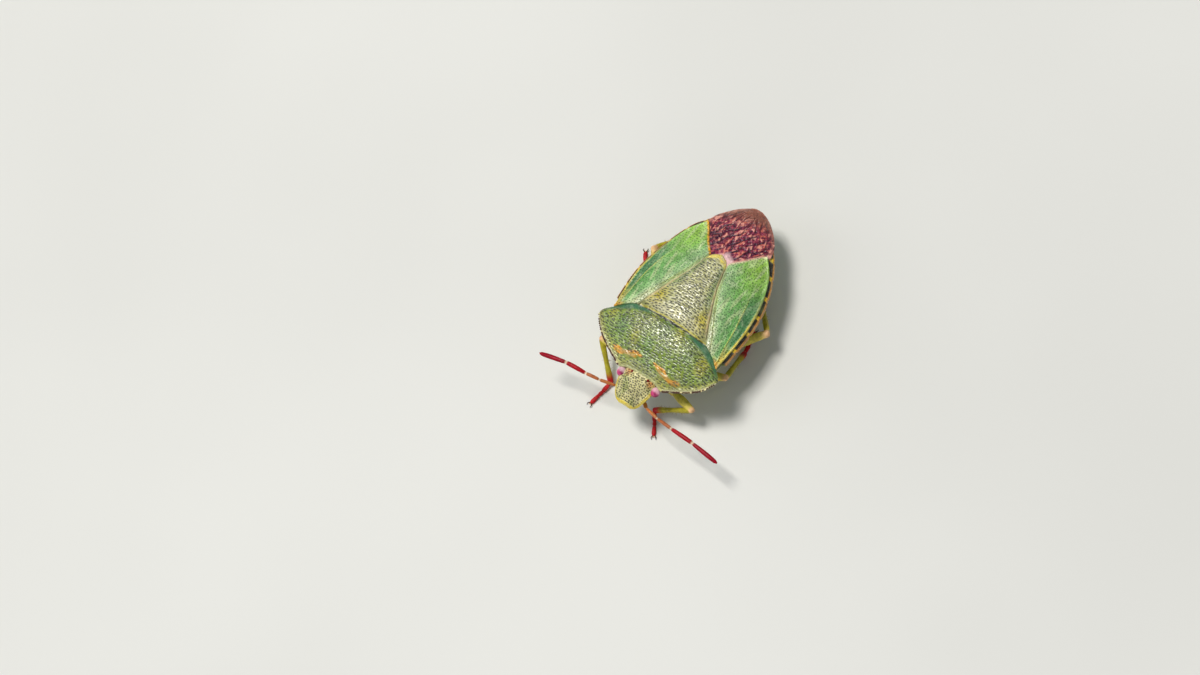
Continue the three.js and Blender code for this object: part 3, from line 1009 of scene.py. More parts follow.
class Growth:
    """A geometry tree being wired, with named inputs, run once on a mesh."""

    def __init__(self, name: str, inputs: dict[str, Socket]) -> None:
        """Starts the tree.

        Args:
            name: The tree's name.
            inputs: Its named inputs, after the geometry.
        """
        self.tree = bpy.data.node_groups.new(name, "GeometryNodeTree")
        face = self.tree.interface
        face.new_socket("Geometry", in_out="INPUT", socket_type=Socket.SHAPE.value)
        self.ids = {
            key: face.new_socket(key, in_out="INPUT", socket_type=kind.value).identifier
            for key, kind in inputs.items()
        }
        face.new_socket("Geometry", in_out="OUTPUT", socket_type=Socket.SHAPE.value)
        self.given = self.tree.nodes.new("NodeGroupInput")
        self.result = self.tree.nodes.new("NodeGroupOutput")

    def add(
        self, kind: str, links: dict[object, object] | None = None, **settings: object
    ) -> bpy.types.Node:
        """Adds a node.

        Args:
            kind: Its type name.
            links: Socket name or index to a socket or a plain value.
            settings: Properties of the node.

        Returns:
            The node.
        """
        node = self.tree.nodes.new(kind)
        for key, value in settings.items():
            setattr(node, key, value)
        for key, value in (links or {}).items():
            if isinstance(value, bpy.types.NodeSocket):
                self.tree.links.new(value, node.inputs[key])
            else:
                node.inputs[key].default_value = value
        return node

    def close(self, shape: bpy.types.NodeSocket) -> None:
        """Realizes the instances, sets the finish and ends the tree.

        Args:
            shape: The geometry so far.
        """
        real = self.add("GeometryNodeRealizeInstances", {"Geometry": shape})
        dress = self.add(
            "GeometryNodeSetMaterial",
            {"Geometry": real.outputs[0], "Material": self.given.outputs["Finish"]},
        )
        self.tree.links.new(dress.outputs[0], self.result.inputs[0])

    def run(self, name: str, base: bpy.types.Mesh, values: dict[str, object]) -> bpy.types.Object:
        """Runs the tree on a mesh in millimetres and returns a plain object in metres.

        Args:
            name: The new object's name.
            base: The mesh to grow on.
            values: A value for each named input.

        Returns:
            The new object.
        """
        carrier = bpy.data.objects.new(f"{name}_carrier", base)
        bpy.context.scene.collection.objects.link(carrier)
        modifier = carrier.modifiers.new("growth", "NODES")
        modifier.node_group = self.tree
        for key, value in values.items():
            modifier[self.ids[key]] = value
        graph = bpy.context.evaluated_depsgraph_get()
        mesh = bpy.data.meshes.new_from_object(carrier.evaluated_get(graph), depsgraph=graph)
        mesh.name = name
        points = np.empty(len(mesh.vertices) * 3, dtype=np.float32)
        mesh.vertices.foreach_get("co", points)
        placed = (points.reshape(-1, 3) + ORIGIN.astype(np.float32)) * MM
        mesh.vertices.foreach_set("co", placed.astype(np.float32).ravel())
        mesh.update()
        bpy.data.objects.remove(carrier)
        made = bpy.data.objects.new(name, mesh)
        bpy.context.scene.collection.objects.link(made)
        return made


def plain_mesh(name: str, points: Array, faces: Sequence[tuple[int, ...]]) -> bpy.types.Mesh:
    """A mesh in millimetres for a tree to grow on.

    Args:
        name: Its name.
        points: Vertices.
        faces: Faces, or none for loose points.

    Returns:
        The mesh.
    """
    mesh = bpy.data.meshes.new(name)
    mesh.from_pydata(points.tolist(), [], list(faces))
    mesh.update()
    return mesh


def hair_tree() -> Growth:
    """Short hairs scattered over a skin, leaning off it.

    Returns:
        The tree.
    """
    growth = Growth(
        "fine_hairs",
        {
            "Density": Socket.NUMBER,
            "Length": Socket.NUMBER,
            "Radius": Socket.NUMBER,
            "Seed": Socket.COUNT,
            "Finish": Socket.FINISH,
        },
    )
    given = growth.given.outputs
    spots = growth.add(
        "GeometryNodeDistributePointsOnFaces",
        {"Mesh": given["Geometry"], "Density": given["Density"], "Seed": given["Seed"]},
    )
    cone = growth.add(
        "GeometryNodeMeshCone",
        {
            "Vertices": 4,
            "Radius Bottom": given["Radius"],
            "Radius Top": 0.002,
            "Depth": given["Length"],
        },
    )
    turn = growth.add(
        "FunctionNodeRotateRotation", {0: spots.outputs["Rotation"]}, rotation_space="LOCAL"
    )
    lean = growth.add(
        "FunctionNodeRandomValue",
        {0: (-0.5, -0.5, 0.0), 1: (0.5, 0.5, 6.2), "Seed": 5},
        data_type="FLOAT_VECTOR",
    )
    euler = growth.add("FunctionNodeEulerToRotation", {0: lean.outputs[0]})
    growth.tree.links.new(euler.outputs[0], turn.inputs[1])
    size = growth.add("FunctionNodeRandomValue", {2: 0.6, 3: 1.15, "Seed": 9}, data_type="FLOAT")
    placed = growth.add(
        "GeometryNodeInstanceOnPoints",
        {
            "Points": spots.outputs["Points"],
            "Instance": cone.outputs["Mesh"],
            "Rotation": turn.outputs[0],
            "Scale": size.outputs[1],
        },
    )
    growth.close(placed.outputs[0])
    return growth


def facet_tree() -> Growth:
    """A compound eye: a ball of six-sided lenses, each a low dome.

    Returns:
        The tree.
    """
    growth = Growth(
        "eye_facets",
        {"Inset": Socket.NUMBER, "Dome": Socket.NUMBER, "Finish": Socket.FINISH},
    )
    given = growth.given.outputs
    dual = growth.add("GeometryNodeDualMesh", {"Mesh": given["Geometry"]})
    raised = growth.add(
        "GeometryNodeExtrudeMesh",
        {"Mesh": dual.outputs[0], "Offset Scale": given["Dome"]},
        mode="FACES",
    )
    shrink = growth.add(
        "GeometryNodeScaleElements",
        {
            "Geometry": raised.outputs["Mesh"],
            "Selection": raised.outputs["Top"],
            "Scale": given["Inset"],
        },
    )
    growth.close(shrink.outputs[0])
    return growth


def bead_tree() -> Growth:
    """A row of small beads on given points.

    Returns:
        The tree.
    """
    growth = Growth(
        "rim_beads", {"Radius": Socket.NUMBER, "Seed": Socket.COUNT, "Finish": Socket.FINISH}
    )
    given = growth.given.outputs
    points = growth.add("GeometryNodeMeshToPoints", {"Mesh": given["Geometry"]})
    bead = growth.add("GeometryNodeMeshIcoSphere", {"Radius": given["Radius"], "Subdivisions": 2})
    size = growth.add(
        "FunctionNodeRandomValue", {2: 0.75, 3: 1.2, "Seed": given["Seed"]}, data_type="FLOAT"
    )
    placed = growth.add(
        "GeometryNodeInstanceOnPoints",
        {"Points": points.outputs[0], "Instance": bead.outputs["Mesh"], "Scale": size.outputs[1]},
    )
    growth.close(placed.outputs[0])
    return growth


def vein_tree() -> Growth:
    """Round veins along the edges of a wire mesh.

    Returns:
        The tree.
    """
    growth = Growth("film_veins", {"Radius": Socket.NUMBER, "Finish": Socket.FINISH})
    given = growth.given.outputs
    curve = growth.add("GeometryNodeMeshToCurve", {"Mesh": given["Geometry"]})
    ring = growth.add(
        "GeometryNodeCurvePrimitiveCircle", {"Resolution": 8, "Radius": given["Radius"]}
    )
    solid = growth.add(
        "GeometryNodeCurveToMesh",
        {"Curve": curve.outputs[0], "Profile Curve": ring.outputs[0], "Fill Caps": True},
    )
    growth.close(solid.outputs[0])
    return growth


# Sub-assemblies.


class Side(Enum):
    """A side of the animal, by its sign along X."""

    LEFT = 1
    RIGHT = -1

    @property
    def label(self) -> str:
        """The side's name, as the pieces have it."""
        return self.name.lower()


@dataclass
class Part:
    """A finished piece: its object, the nodes that it stands for and its slot."""

    made: bpy.types.Object
    nodes: tuple[str, ...]
    slot: str


@dataclass(frozen=True)
class Pronotum:
    """Domed shield behind the head, with blunt shoulders and a beaded side rim."""

    shoulder: float = 3.9
    bead_radius: float = 0.055
    beads_each: int = 34
    rows: int = 168
    columns: int = 236
    pits: Punctures = Punctures(
        across=0.24, along=0.13, length=0.135, width=0.052, wander=0.08, seed=4
    )
    front: Profile = Profile(
        (
            (0, -4.55),
            (0.9, -4.58),
            (1.4, -4.72),
            (1.85, -4.52),
            (2.6, -4.14),
            (3.2, -3.74),
            (3.65, -3.3),
            (3.9, -2.93),
        )
    )
    rear: Profile = Profile(
        ((0, -1.43), (2.25, -1.49), (2.9, -1.82), (3.45, -2.25), (3.75, -2.52), (3.9, -2.71))
    )
    mark: Profile = Profile(
        (
            (0.35, -3.74),
            (0.85, -3.8),
            (1.15, -3.86),
            (1.36, -3.99),
            (1.6, -4.06),
            (1.98, -4.0),
            (2.25, -4.04),
        )
    )
    branch: Profile = Profile(
        ((0.7, -3.93), (1.1, -4.04), (1.4, -4.1), (1.75, -4.17), (2.1, -4.12))
    )

    def grid(self) -> tuple[Array, Array]:
        """Places of the grid.

        Returns:
            x and y arrays.
        """
        crowd = 0.92
        x = spread(self.rows, self.columns, crowd)
        x = self.shoulder * x / math.sin(math.pi / 2 * crowd)
        v = np.linspace(0, 1, self.rows)[:, None]
        v = v - 0.06 * np.sin(2 * math.pi * v)
        low, high = self.front(np.abs(x)), self.rear(np.abs(x))
        return x, low + (high - low) * v

    def pitted(self, x: Array, y: Array) -> Array:
        """Depth of the pits, none on the smooth front band and swellings.

        Args:
            x: Across.
            y: Along.

        Returns:
            0 on the plate, 1 in the middle of a pit.
        """
        smooth = ease(self.callus(x, y), 0.75, 1.15) * (1 - 0.9 * self.teal(x, y))
        return self.pits.depth(x, y) * (0.15 + 0.85 * smooth)

    def relief(self, x: Array, y: Array) -> Array:
        """Raised and sunk places of the surface.

        Args:
            x: Across.
            y: Along.

        Returns:
            Heights to add.
        """
        side = np.abs(x)
        gap = y - self.front(side)
        rim = bump(gap, 0.07, 0.13) * ease(side, 1.2, 1.6) * 0.06
        dip = bump(gap, 0.27, 0.16) * ease(side, 1.2, 1.8) * 0.045
        callus = self.callus(x, y)
        swell = ease(callus, 1.0, 0.2) * 0.06
        ring = bump(callus, 1.05, 0.3) * 0.04
        dome = bump(y, -2.25, 1.25) * ease(side, 3.7, 1.6) * 0.13
        cross = bump(y, -3.5, 0.4) * ease(side, 3.0, 1.5) * 0.05
        edge = ease(self.rear(side) - y, 0.3, 0.0) * 0.08
        front = ease(gap, 0.2, 0.0) * 0.05
        folds = ripple(x * 0.3, y * 1.5, 4, 1.3) * 0.01 + ripple(x * 0.5, y, 14, 3.2) * 0.004
        return (
            rim - dip + swell - ring + dome - cross - edge - front + folds - 0.032 * self.pitted(
                x, y
            )
        )

    def callus(self, x: Array, y: Array) -> Array:
        """Distance from the middle of the nearer of two smooth swellings, 1 at their edge.

        Args:
            x: Across.
            y: Along.

        Returns:
            Distances.
        """
        side = np.abs(x)
        wave = 0.07 * np.sin(side * 7.0)
        return np.hypot((side - 1.2) / 0.78, (y + 4.02 + 0.12 * (side - 1.2) + wave) / 0.2)

    def teal(self, x: Array, y: Array) -> Array:
        """Share of the smooth blue-green band along the hind margin, widest at both sides.

        Args:
            x: Across.
            y: Along.

        Returns:
            Values from 0 to 1.
        """
        side = np.abs(x)
        band = 0.2 + 0.3 * bump(side, 2.5, 1.1)
        return (
            ease(self.rear(side) - y, band, band * 0.45) * ease(side, 0.9, 1.7) * ease(
                side, 3.8, 3.4
            )
        )

    def sheen(self, x: Array, y: Array) -> Array:
        """Share of the smoother, glossier band across the hind half, also painted a paler olive:
        partly the plate's own colour, partly painted reflection.

        Args:
            x: Across.
            y: Along.

        Returns:
            Values from 0 to 1.
        """
        fray = 0.16 * ripple(x * 0.7, y * 1.6, 71, 1.3)
        rear = self.rear(np.abs(x)) - y - fray
        front = y + 3.02 - 0.05 * x * x + fray
        return ease(rear, 0.1, 0.5) * ease(front, -0.05, 0.65) * ease(np.abs(x) + fray, 2.9, 1.7)

    def paint(self, x: Array, y: Array) -> Array:
        """Colours of the upper side.

        Args:
            x: Across.
            y: Along.

        Returns:
            Linear colours.
        """
        side = np.abs(x)
        gap = y - self.front(side)
        base = undercoat(x, "7c941a")
        cloud = ripple(x, y, 17, 0.45)
        base = coated(base, "4e7a1a", ease(cloud, 0.0, 0.7) * 0.75)
        base = coated(base, "aaa414", ease(cloud, -0.1, -0.7) * 0.75)
        # Paler olive band where the reflection falls: partly the plate's own colour, partly
        # painted reflection.
        base = coated(base, "9aa05c", self.sheen(x, y) * 0.55)
        base = coated(base, "b8b454", ease(gap, 0.6, 0.1) * 0.8)
        base = coated(base, "98a05c", ease(side, 1.3, 0.7) * ease(gap, 0.55, 0.3) * 0.6)
        base = coated(base, "2c7350", self.teal(x, y) * 0.9)
        base = coated(base, "93a040", bump(x, 0, 0.14) * ease(y, -2.6, -3.2) * 0.5)
        warp = 0.05 * ripple(x, y, 11, 1.5)
        bold = ease(0.75 + 0.5 * ripple(x, y, 12, 0.9), 0.1, 0.6)
        line = (
            bump(y - self.mark(side) - warp, 0.0, 0.13) * ease(side, 0.3, 0.55) * ease(
                side, 2.3, 2.05
            )
        )
        fork = (
            bump(y - self.branch(side) + warp, 0.0, 0.09) * ease(side, 0.6, 0.8) * ease(
                side, 2.2, 2.0
            )
        )
        base = coated(base, "e29c0c", np.clip(np.maximum(line, fork * 0.8) * 2.2 * bold, 0, 1))
        inside = ease(self.callus(x, y), 0.85, 0.4)
        base = coated(base, "a89a4c", inside * 0.5)
        pit = self.pitted(x, y)
        base = coated(base, "101a08", pit * (0.95 - 0.3 * ease(gap, 0.3, 0.1)))
        base = coated(base, "ece6b0", bump(gap, 0.03, 0.08) * ease(side, 1.3, 1.6))
        collar = ease(gap, 0.14, 0.02) * ease(side, 1.5, 1.2)
        return coated(base, "c9c98a", collar * 0.7)

    def build(self) -> Part:
        """Builds and dresses the plate.

        Returns:
            The finished piece.
        """
        x, y = self.grid()
        side = np.abs(x)
        z = FORM.back(x, y) + self.relief(x, y)
        out = np.maximum(
            (side / self.shoulder) ** 2, ease(y - self.front(side), 0.8, 0.0) * (side > 1.2)
        )
        thick = 0.42 * (1.02 - 0.45 * out)
        upper = joined(x, y, z)
        lower = joined(x * 0.985, y, FORM.back(x, y) - thick)
        under = undercoat(x, "4a2a20")
        gloss = (0.4 + 0.6 * self.sheen(x, y)) * (1 - self.pitted(x, y))
        skin = shell(upper, lower, 0.05, self.paint(x, y), under, gloss)
        made = skin.to_object(
            "pronotum_shell", Cuticle("pronotum_shell", shine=1.0, coat=0.5).material()
        )
        return Part(made, ("pronotum",), "pronotum")

    def beads(self) -> Part:
        """Row of small beads on the side rims, dark and pale by turns.

        Returns:
            The finished piece.
        """
        x = np.linspace(1.5, 3.86, self.beads_each)
        y = self.front(x)
        spots = []
        for sign in (-1, 1):
            z = FORM.back(x, y) - 0.03
            spots.append(joined(sign * (x + 0.02), y - 0.02, z))
        base = plain_mesh("rim_spots", np.concatenate(spots), [])
        values = {"Radius": self.bead_radius, "Seed": 3, "Finish": RimBeads().material()}
        made = bead_tree().run("pronotum_rim_beads", base, values)
        return Part(made, (), "pronotum")


@dataclass(frozen=True)
class RimBeads:
    """Small glossy beads, cream and dark brown by turns."""

    name: str = "rim_beads"

    def material(self) -> bpy.types.Material:
        """Builds the shader.

        Returns:
            The finished material.
        """
        board = Board(self.name)
        turn = board.between(board.cells(4.2), 0.25, 0.42)
        colour = board.mixed(turn, srgb("e8dfa8"), srgb("4a2418"))
        normal = board.relief(board.noise(20.0, 1.0), 0.006)
        return board.finish(colour, 0.35, normal, Coat_Weight=0.3)


@dataclass(frozen=True)
class Scutellum:
    """Large triangular shield over the wing roots, with a rounded tip."""

    base: float = -1.55
    tip: float = 3.35
    rows: int = 240
    columns: int = 150
    pits: Punctures = Punctures(
        across=0.23, along=0.135, length=0.13, width=0.052, wander=0.07, seed=9
    )

    def build(self) -> Part:
        """Builds and dresses the plate.

        Returns:
            The finished piece.
        """
        v = np.linspace(0, 1, self.rows)[:, None]
        v = 1 - (1 - v) ** 1.15
        y = np.tile(self.base + (self.tip - self.base) * v, (1, self.columns))
        crowd = 0.9
        s = spread(self.rows, self.columns, crowd) / math.sin(math.pi / 2 * crowd)
        x = s * FORM.shield_half(y)
        pit = self.pitted(x, y, s)
        z = FORM.back(x, y) + self.relief(x, y, s) - 0.034 * pit
        upper = joined(x, y, z)
        lower = joined(x * 0.97, y, np.minimum(FORM.back(x, y) - 0.3, z - 0.1))
        under = undercoat(x, "5a6a2a")
        gloss = (0.45 + 0.55 * bump(x, 0, 1.6)) * (1 - pit) * ease(y, -1.46, -1.42)
        skin = shell(upper, lower, 0.03, self.paint(x, y, s), under, gloss)
        finish = Cuticle(
            "scutellum_shell", glint_share=0.5, glint_colour=srgb("ece8c8"), shine=1.0, coat=0.5
        )
        return Part(
            skin.to_object("scutellum_shell", finish.material()), ("scutellum",), "scutellum"
        )

    def pitted(self, x: Array, y: Array, s: Array) -> Array:
        """Depth of the pits, none on the tip and the side rims.

        Args:
            x: Across.
            y: Along.
            s: Share of the half width.

        Returns:
            0 on the plate, 1 in the middle of a pit.
        """
        bare = ease(np.abs(s), 0.9, 0.98) + ease(y, 2.9, 3.15)
        return self.pits.depth(x, y + 0.1 * np.abs(x)) * (1 - np.clip(bare, 0, 1))

    def relief(self, x: Array, y: Array, s: Array) -> Array:
        """Raised and sunk places.

        Args:
            x: Across.
            y: Along.
            s: Share of the half width.

        Returns:
            Heights to add.
        """
        swell = bump(y, -0.9, 1.6) * bump(x, 0, 2.1) * 0.1
        corner = bump(np.abs(x), 1.95, 0.36) * bump(y, -1.3, 0.4) * 0.12
        roll = np.clip(np.abs(s), 0, 1) ** 5 * 0.13
        tip = ease(y, 2.9, 3.35) * 0.1
        folds = ripple(x * 0.3, y * 1.6, 8, 1.2) * 0.01 + ripple(x * 0.5, y, 18, 3.0) * 0.004
        hollow = bump(x, 0, 0.4) * bump(y, 1.9, 0.9) * 0.03
        front = ease(y, -1.0, -1.46) * 0.24
        return 0.13 - roll + swell - corner - tip + folds - hollow - front

    def paint(self, x: Array, y: Array, s: Array) -> Array:
        """Colours of the upper side.

        Args:
            x: Across.
            y: Along.
            s: Share of the half width.

        Returns:
            Linear colours.
        """
        side = np.abs(x)
        base = undercoat(x, "aeae6c")
        # Paler middle where the reflection falls: partly the plate's own colour, partly painted
        # reflection.
        base = coated(base, "c0bc88", bump(x, 0, 1.5) * ease(y, -1.7, -0.3) * 0.75)
        corner = bump(side, 1.45, 0.75) * bump(y, -0.55, 1.05)
        base = coated(base, "c0b018", corner)
        base = coated(base, "7e9850", ease(np.abs(s), 0.55, 0.85) * ease(y, 0.1, 0.8) * 0.7)
        base = coated(base, "d8d0a0", bump(y, -1.0, 0.6) * ease(side, 2.1, 1.0) * 0.7)
        pit = self.pitted(x, y, s)
        base = coated(base, "12180a", pit * 0.95)
        base = coated(base, "d8c832", bump(y + 0.03 * side, -1.27, 0.06) * 0.8)
        # Painted shade: near-black front edge where the shield runs under the pronotum's hind
        # edge.
        base = coated(base, "0c0a04", ease(y + 0.03 * side, -1.31, -1.36))
        rim = ease(np.abs(s), 0.93, 0.985) * ease(y, -1.2, -0.6)
        base = coated(base, "dcc08c", rim * 0.8)
        return coated(base, "f2dc62", ease(y + 0.35 * np.abs(s), 3.0, 3.2) * 0.95)


@dataclass(frozen=True)
class Forewing:
    """Leathery half of a forewing, from the shoulder to the slanting hind edge.

    inner and outer say where each of those edges starts along the body, and how long it is.
    """

    side: Side
    rim: float = 0.19
    inner: tuple[float, float] = (-1.45, 4.47)
    outer: tuple[float, float] = (-2.3, 7.25)
    rows: int = 225
    columns: int = 105
    pits: Punctures = Punctures(
        across=0.15, along=0.15, length=0.06, width=0.05, wander=0.05, seed=27
    )
    hind: Profile = Profile(((0.5, 3.02), (1.2, 3.75), (1.7, 4.4), (2.2, 4.95)))
    fore: Profile = Profile(((0, -1.4), (2.25, -1.42), (2.9, -1.72), (3.6, -2.3)))
    vein: Profile = Profile(((0, 0.14), (0.25, 0.42), (0.5, 0.6), (0.75, 0.66), (1, 0.7)))

    def places(self) -> tuple[Array, Array, Array, Array]:
        """Grid over the wing.

        Returns:
            x, y, share across and share along.
        """
        u = np.tile(np.linspace(0, 1, self.columns), (self.rows, 1))
        v = np.tile(np.linspace(0, 1, self.rows)[:, None], (1, self.columns))
        inner = self.inner[0] + self.inner[1] * v
        outer = self.outer[0] + self.outer[1] * v
        near = np.maximum(FORM.shield_half(inner) + 0.04, 0.52)
        far = FORM.half(outer) - self.rim
        x = near + (far - near) * u
        y = inner + (outer - inner) * u**1.25
        last, first = y[-1:, :], y[:1, :]
        y = y + (self.hind(x[-1:, :]) - last) * ease(v, 0.8, 1.0)
        y = y + (self.fore(x[:1, :]) - first) * ease(v, 0.15, 0.0)
        return x, y, u, v

    def margins(self, x: Array, y: Array) -> tuple[Array, Array]:
        """Distances from the shield's edge and from the outer edge.

        Args:
            x: Across.
            y: Along.

        Returns:
            Both distances.
        """
        return x - FORM.shield_half(y), FORM.half(y) - self.rim - x

    def lines(self, x: Array, y: Array, v: Array) -> tuple[Array, Array]:
        """Share of the seam beside the shield and of the vein inside the outer edge.

        Args:
            x: Across.
            y: Along.
            v: Share along.

        Returns:
            Both shares, 0 to 1.
        """
        inner, outer = self.margins(x, y)
        seam = bump(inner, 0.16 + 0.2 * ease(y, 1.6, -1.3), 0.05) * ease(y, 3.0, 2.5)
        vein = bump(outer, self.vein(v), 0.055) * ease(v, 0.72, 0.45)
        return seam, vein

    def build(self) -> Part:
        """Builds and dresses the wing.

        Returns:
            The finished piece.
        """
        name = self.side.label
        x, y, u, v = self.places()
        pit = self.pits.depth(x, y * self.side.value) * ease(u, 0.02, 0.06) * ease(u, 0.99, 0.95)
        z = FORM.back(x, y) + self.relief(x, y, u, v) - 0.018 * pit
        thick = 0.34 - 0.16 * u**2
        paint = self.paint(x, y, u, v)
        paint = coated(paint, "1c4418", pit * 0.75)
        gloss = (0.5 + 0.4 * ease(u, 0.8, 0.1)) * (1 - pit)
        upper = joined(self.side.value * x, y, z)
        lower = joined(self.side.value * x, y, z - thick)
        if self.side is Side.RIGHT:
            upper, lower, paint, gloss = (a[:, ::-1] for a in (upper, lower, paint, gloss))
        under = undercoat(x, "6a7a30")
        skin = shell(upper, lower, 0.035, paint, under, gloss)
        title = f"forewing_{name}_leather"
        finish = Cuticle(
            title,
            grain=13.0,
            dark=srgb("2a5a2a"),
            glint_colour=srgb("dfe9bc"),
            glint_share=0.5,
            wrinkle=(7.0, 2.6, 7.0),
            wrinkle_depth=0.045,
        )
        return Part(skin.to_object(title, finish.material()), (f"forewing_{name}",), "wing")

    def relief(self, x: Array, y: Array, u: Array, v: Array) -> Array:
        """Raised veins and sunk seams.

        Args:
            x: Across.
            y: Along.
            u: Share across.
            v: Share along.

        Returns:
            Heights to add.
        """
        seam, vein = self.lines(x, y, v)
        edge = ease(u, 0.96, 1.0) * 0.03 - bump(u, 0.92, 0.06) * 0.03
        roll = ease(u, 0.05, 0.0) * 0.07 + ease(v, 0.97, 1.0) * 0.03
        lift = ease(u, 0.0, 0.25) * 0.04
        wave = ripple(x * 1.2, y * 0.5, 33, 1.0) * 0.006
        return vein * 0.04 + edge + lift + wave - seam * 0.05 - roll - 0.02

    def paint(self, x: Array, y: Array, u: Array, v: Array) -> Array:
        """Colours of the upper side.

        Args:
            x: Across.
            y: Along.
            u: Share across.
            v: Share along.

        Returns:
            Linear colours.
        """
        seam, vein = self.lines(x, y, v)
        inner, outer = self.margins(x, y)
        base = undercoat(x, "6eac58")
        base = coated(base, "9cca4a", ease(v, 0.45, 1.0) * ease(u, 0.1, 0.8))
        base = coated(base, "a8c88c", ease(inner, 1.3, 0.2) * 0.8)
        streak = ripple(x * 2.2, y * 0.5, 41, 0.8)
        base = coated(base, "c8d69c", ease(streak, 0.1, 0.7) * 0.6)
        outside = ease(outer - self.vein(v), 0.03, -0.05) * ease(v, 0.75, 0.55)
        base = coated(base, "3c7c50", outside * ease(v, 0.12, 0.25) * 0.7)
        base = coated(base, "d8b848", outside * ease(v, 0.24, 0.06) * 0.85)
        base = coated(base, "a8ae62", ease(inner, 0.36, 0.2) * ease(y, 2.4, 0.6) * 0.55)
        root = ease(y, 0.9, -0.9) * ease(inner, 0.7, 0.3)
        base = coated(base, "d9dab0", root * (0.6 + 0.4 * ripple(x * 2, y * 0.6, 43, 1.2)))
        base = coated(base, "d6cfa0", bump(inner, 0.06, 0.05) * 0.75)
        base = coated(base, "b9bd74", seam * 0.55)
        base = coated(base, "cccc5c", vein * 0.85)
        base = coated(base, "e6cc4a", ease(outer, 0.1, 0.03) * ease(v, 0.75, 0.35) * 0.9)
        base = coated(base, "e6a83c", ease(v, 0.05, 0.01) * ease(u, 0.5, 0.9) * 0.9)
        hind = self.hind(x) - y
        if self.side is Side.LEFT:
            return coated(base, "eed9b0", ease(hind, 0.2, 0.05) * ease(v, 0.8, 0.95) * 0.75)
        return coated(base, "f0ae30", ease(hind, 0.17, 0.08) * ease(v, 0.8, 0.95))


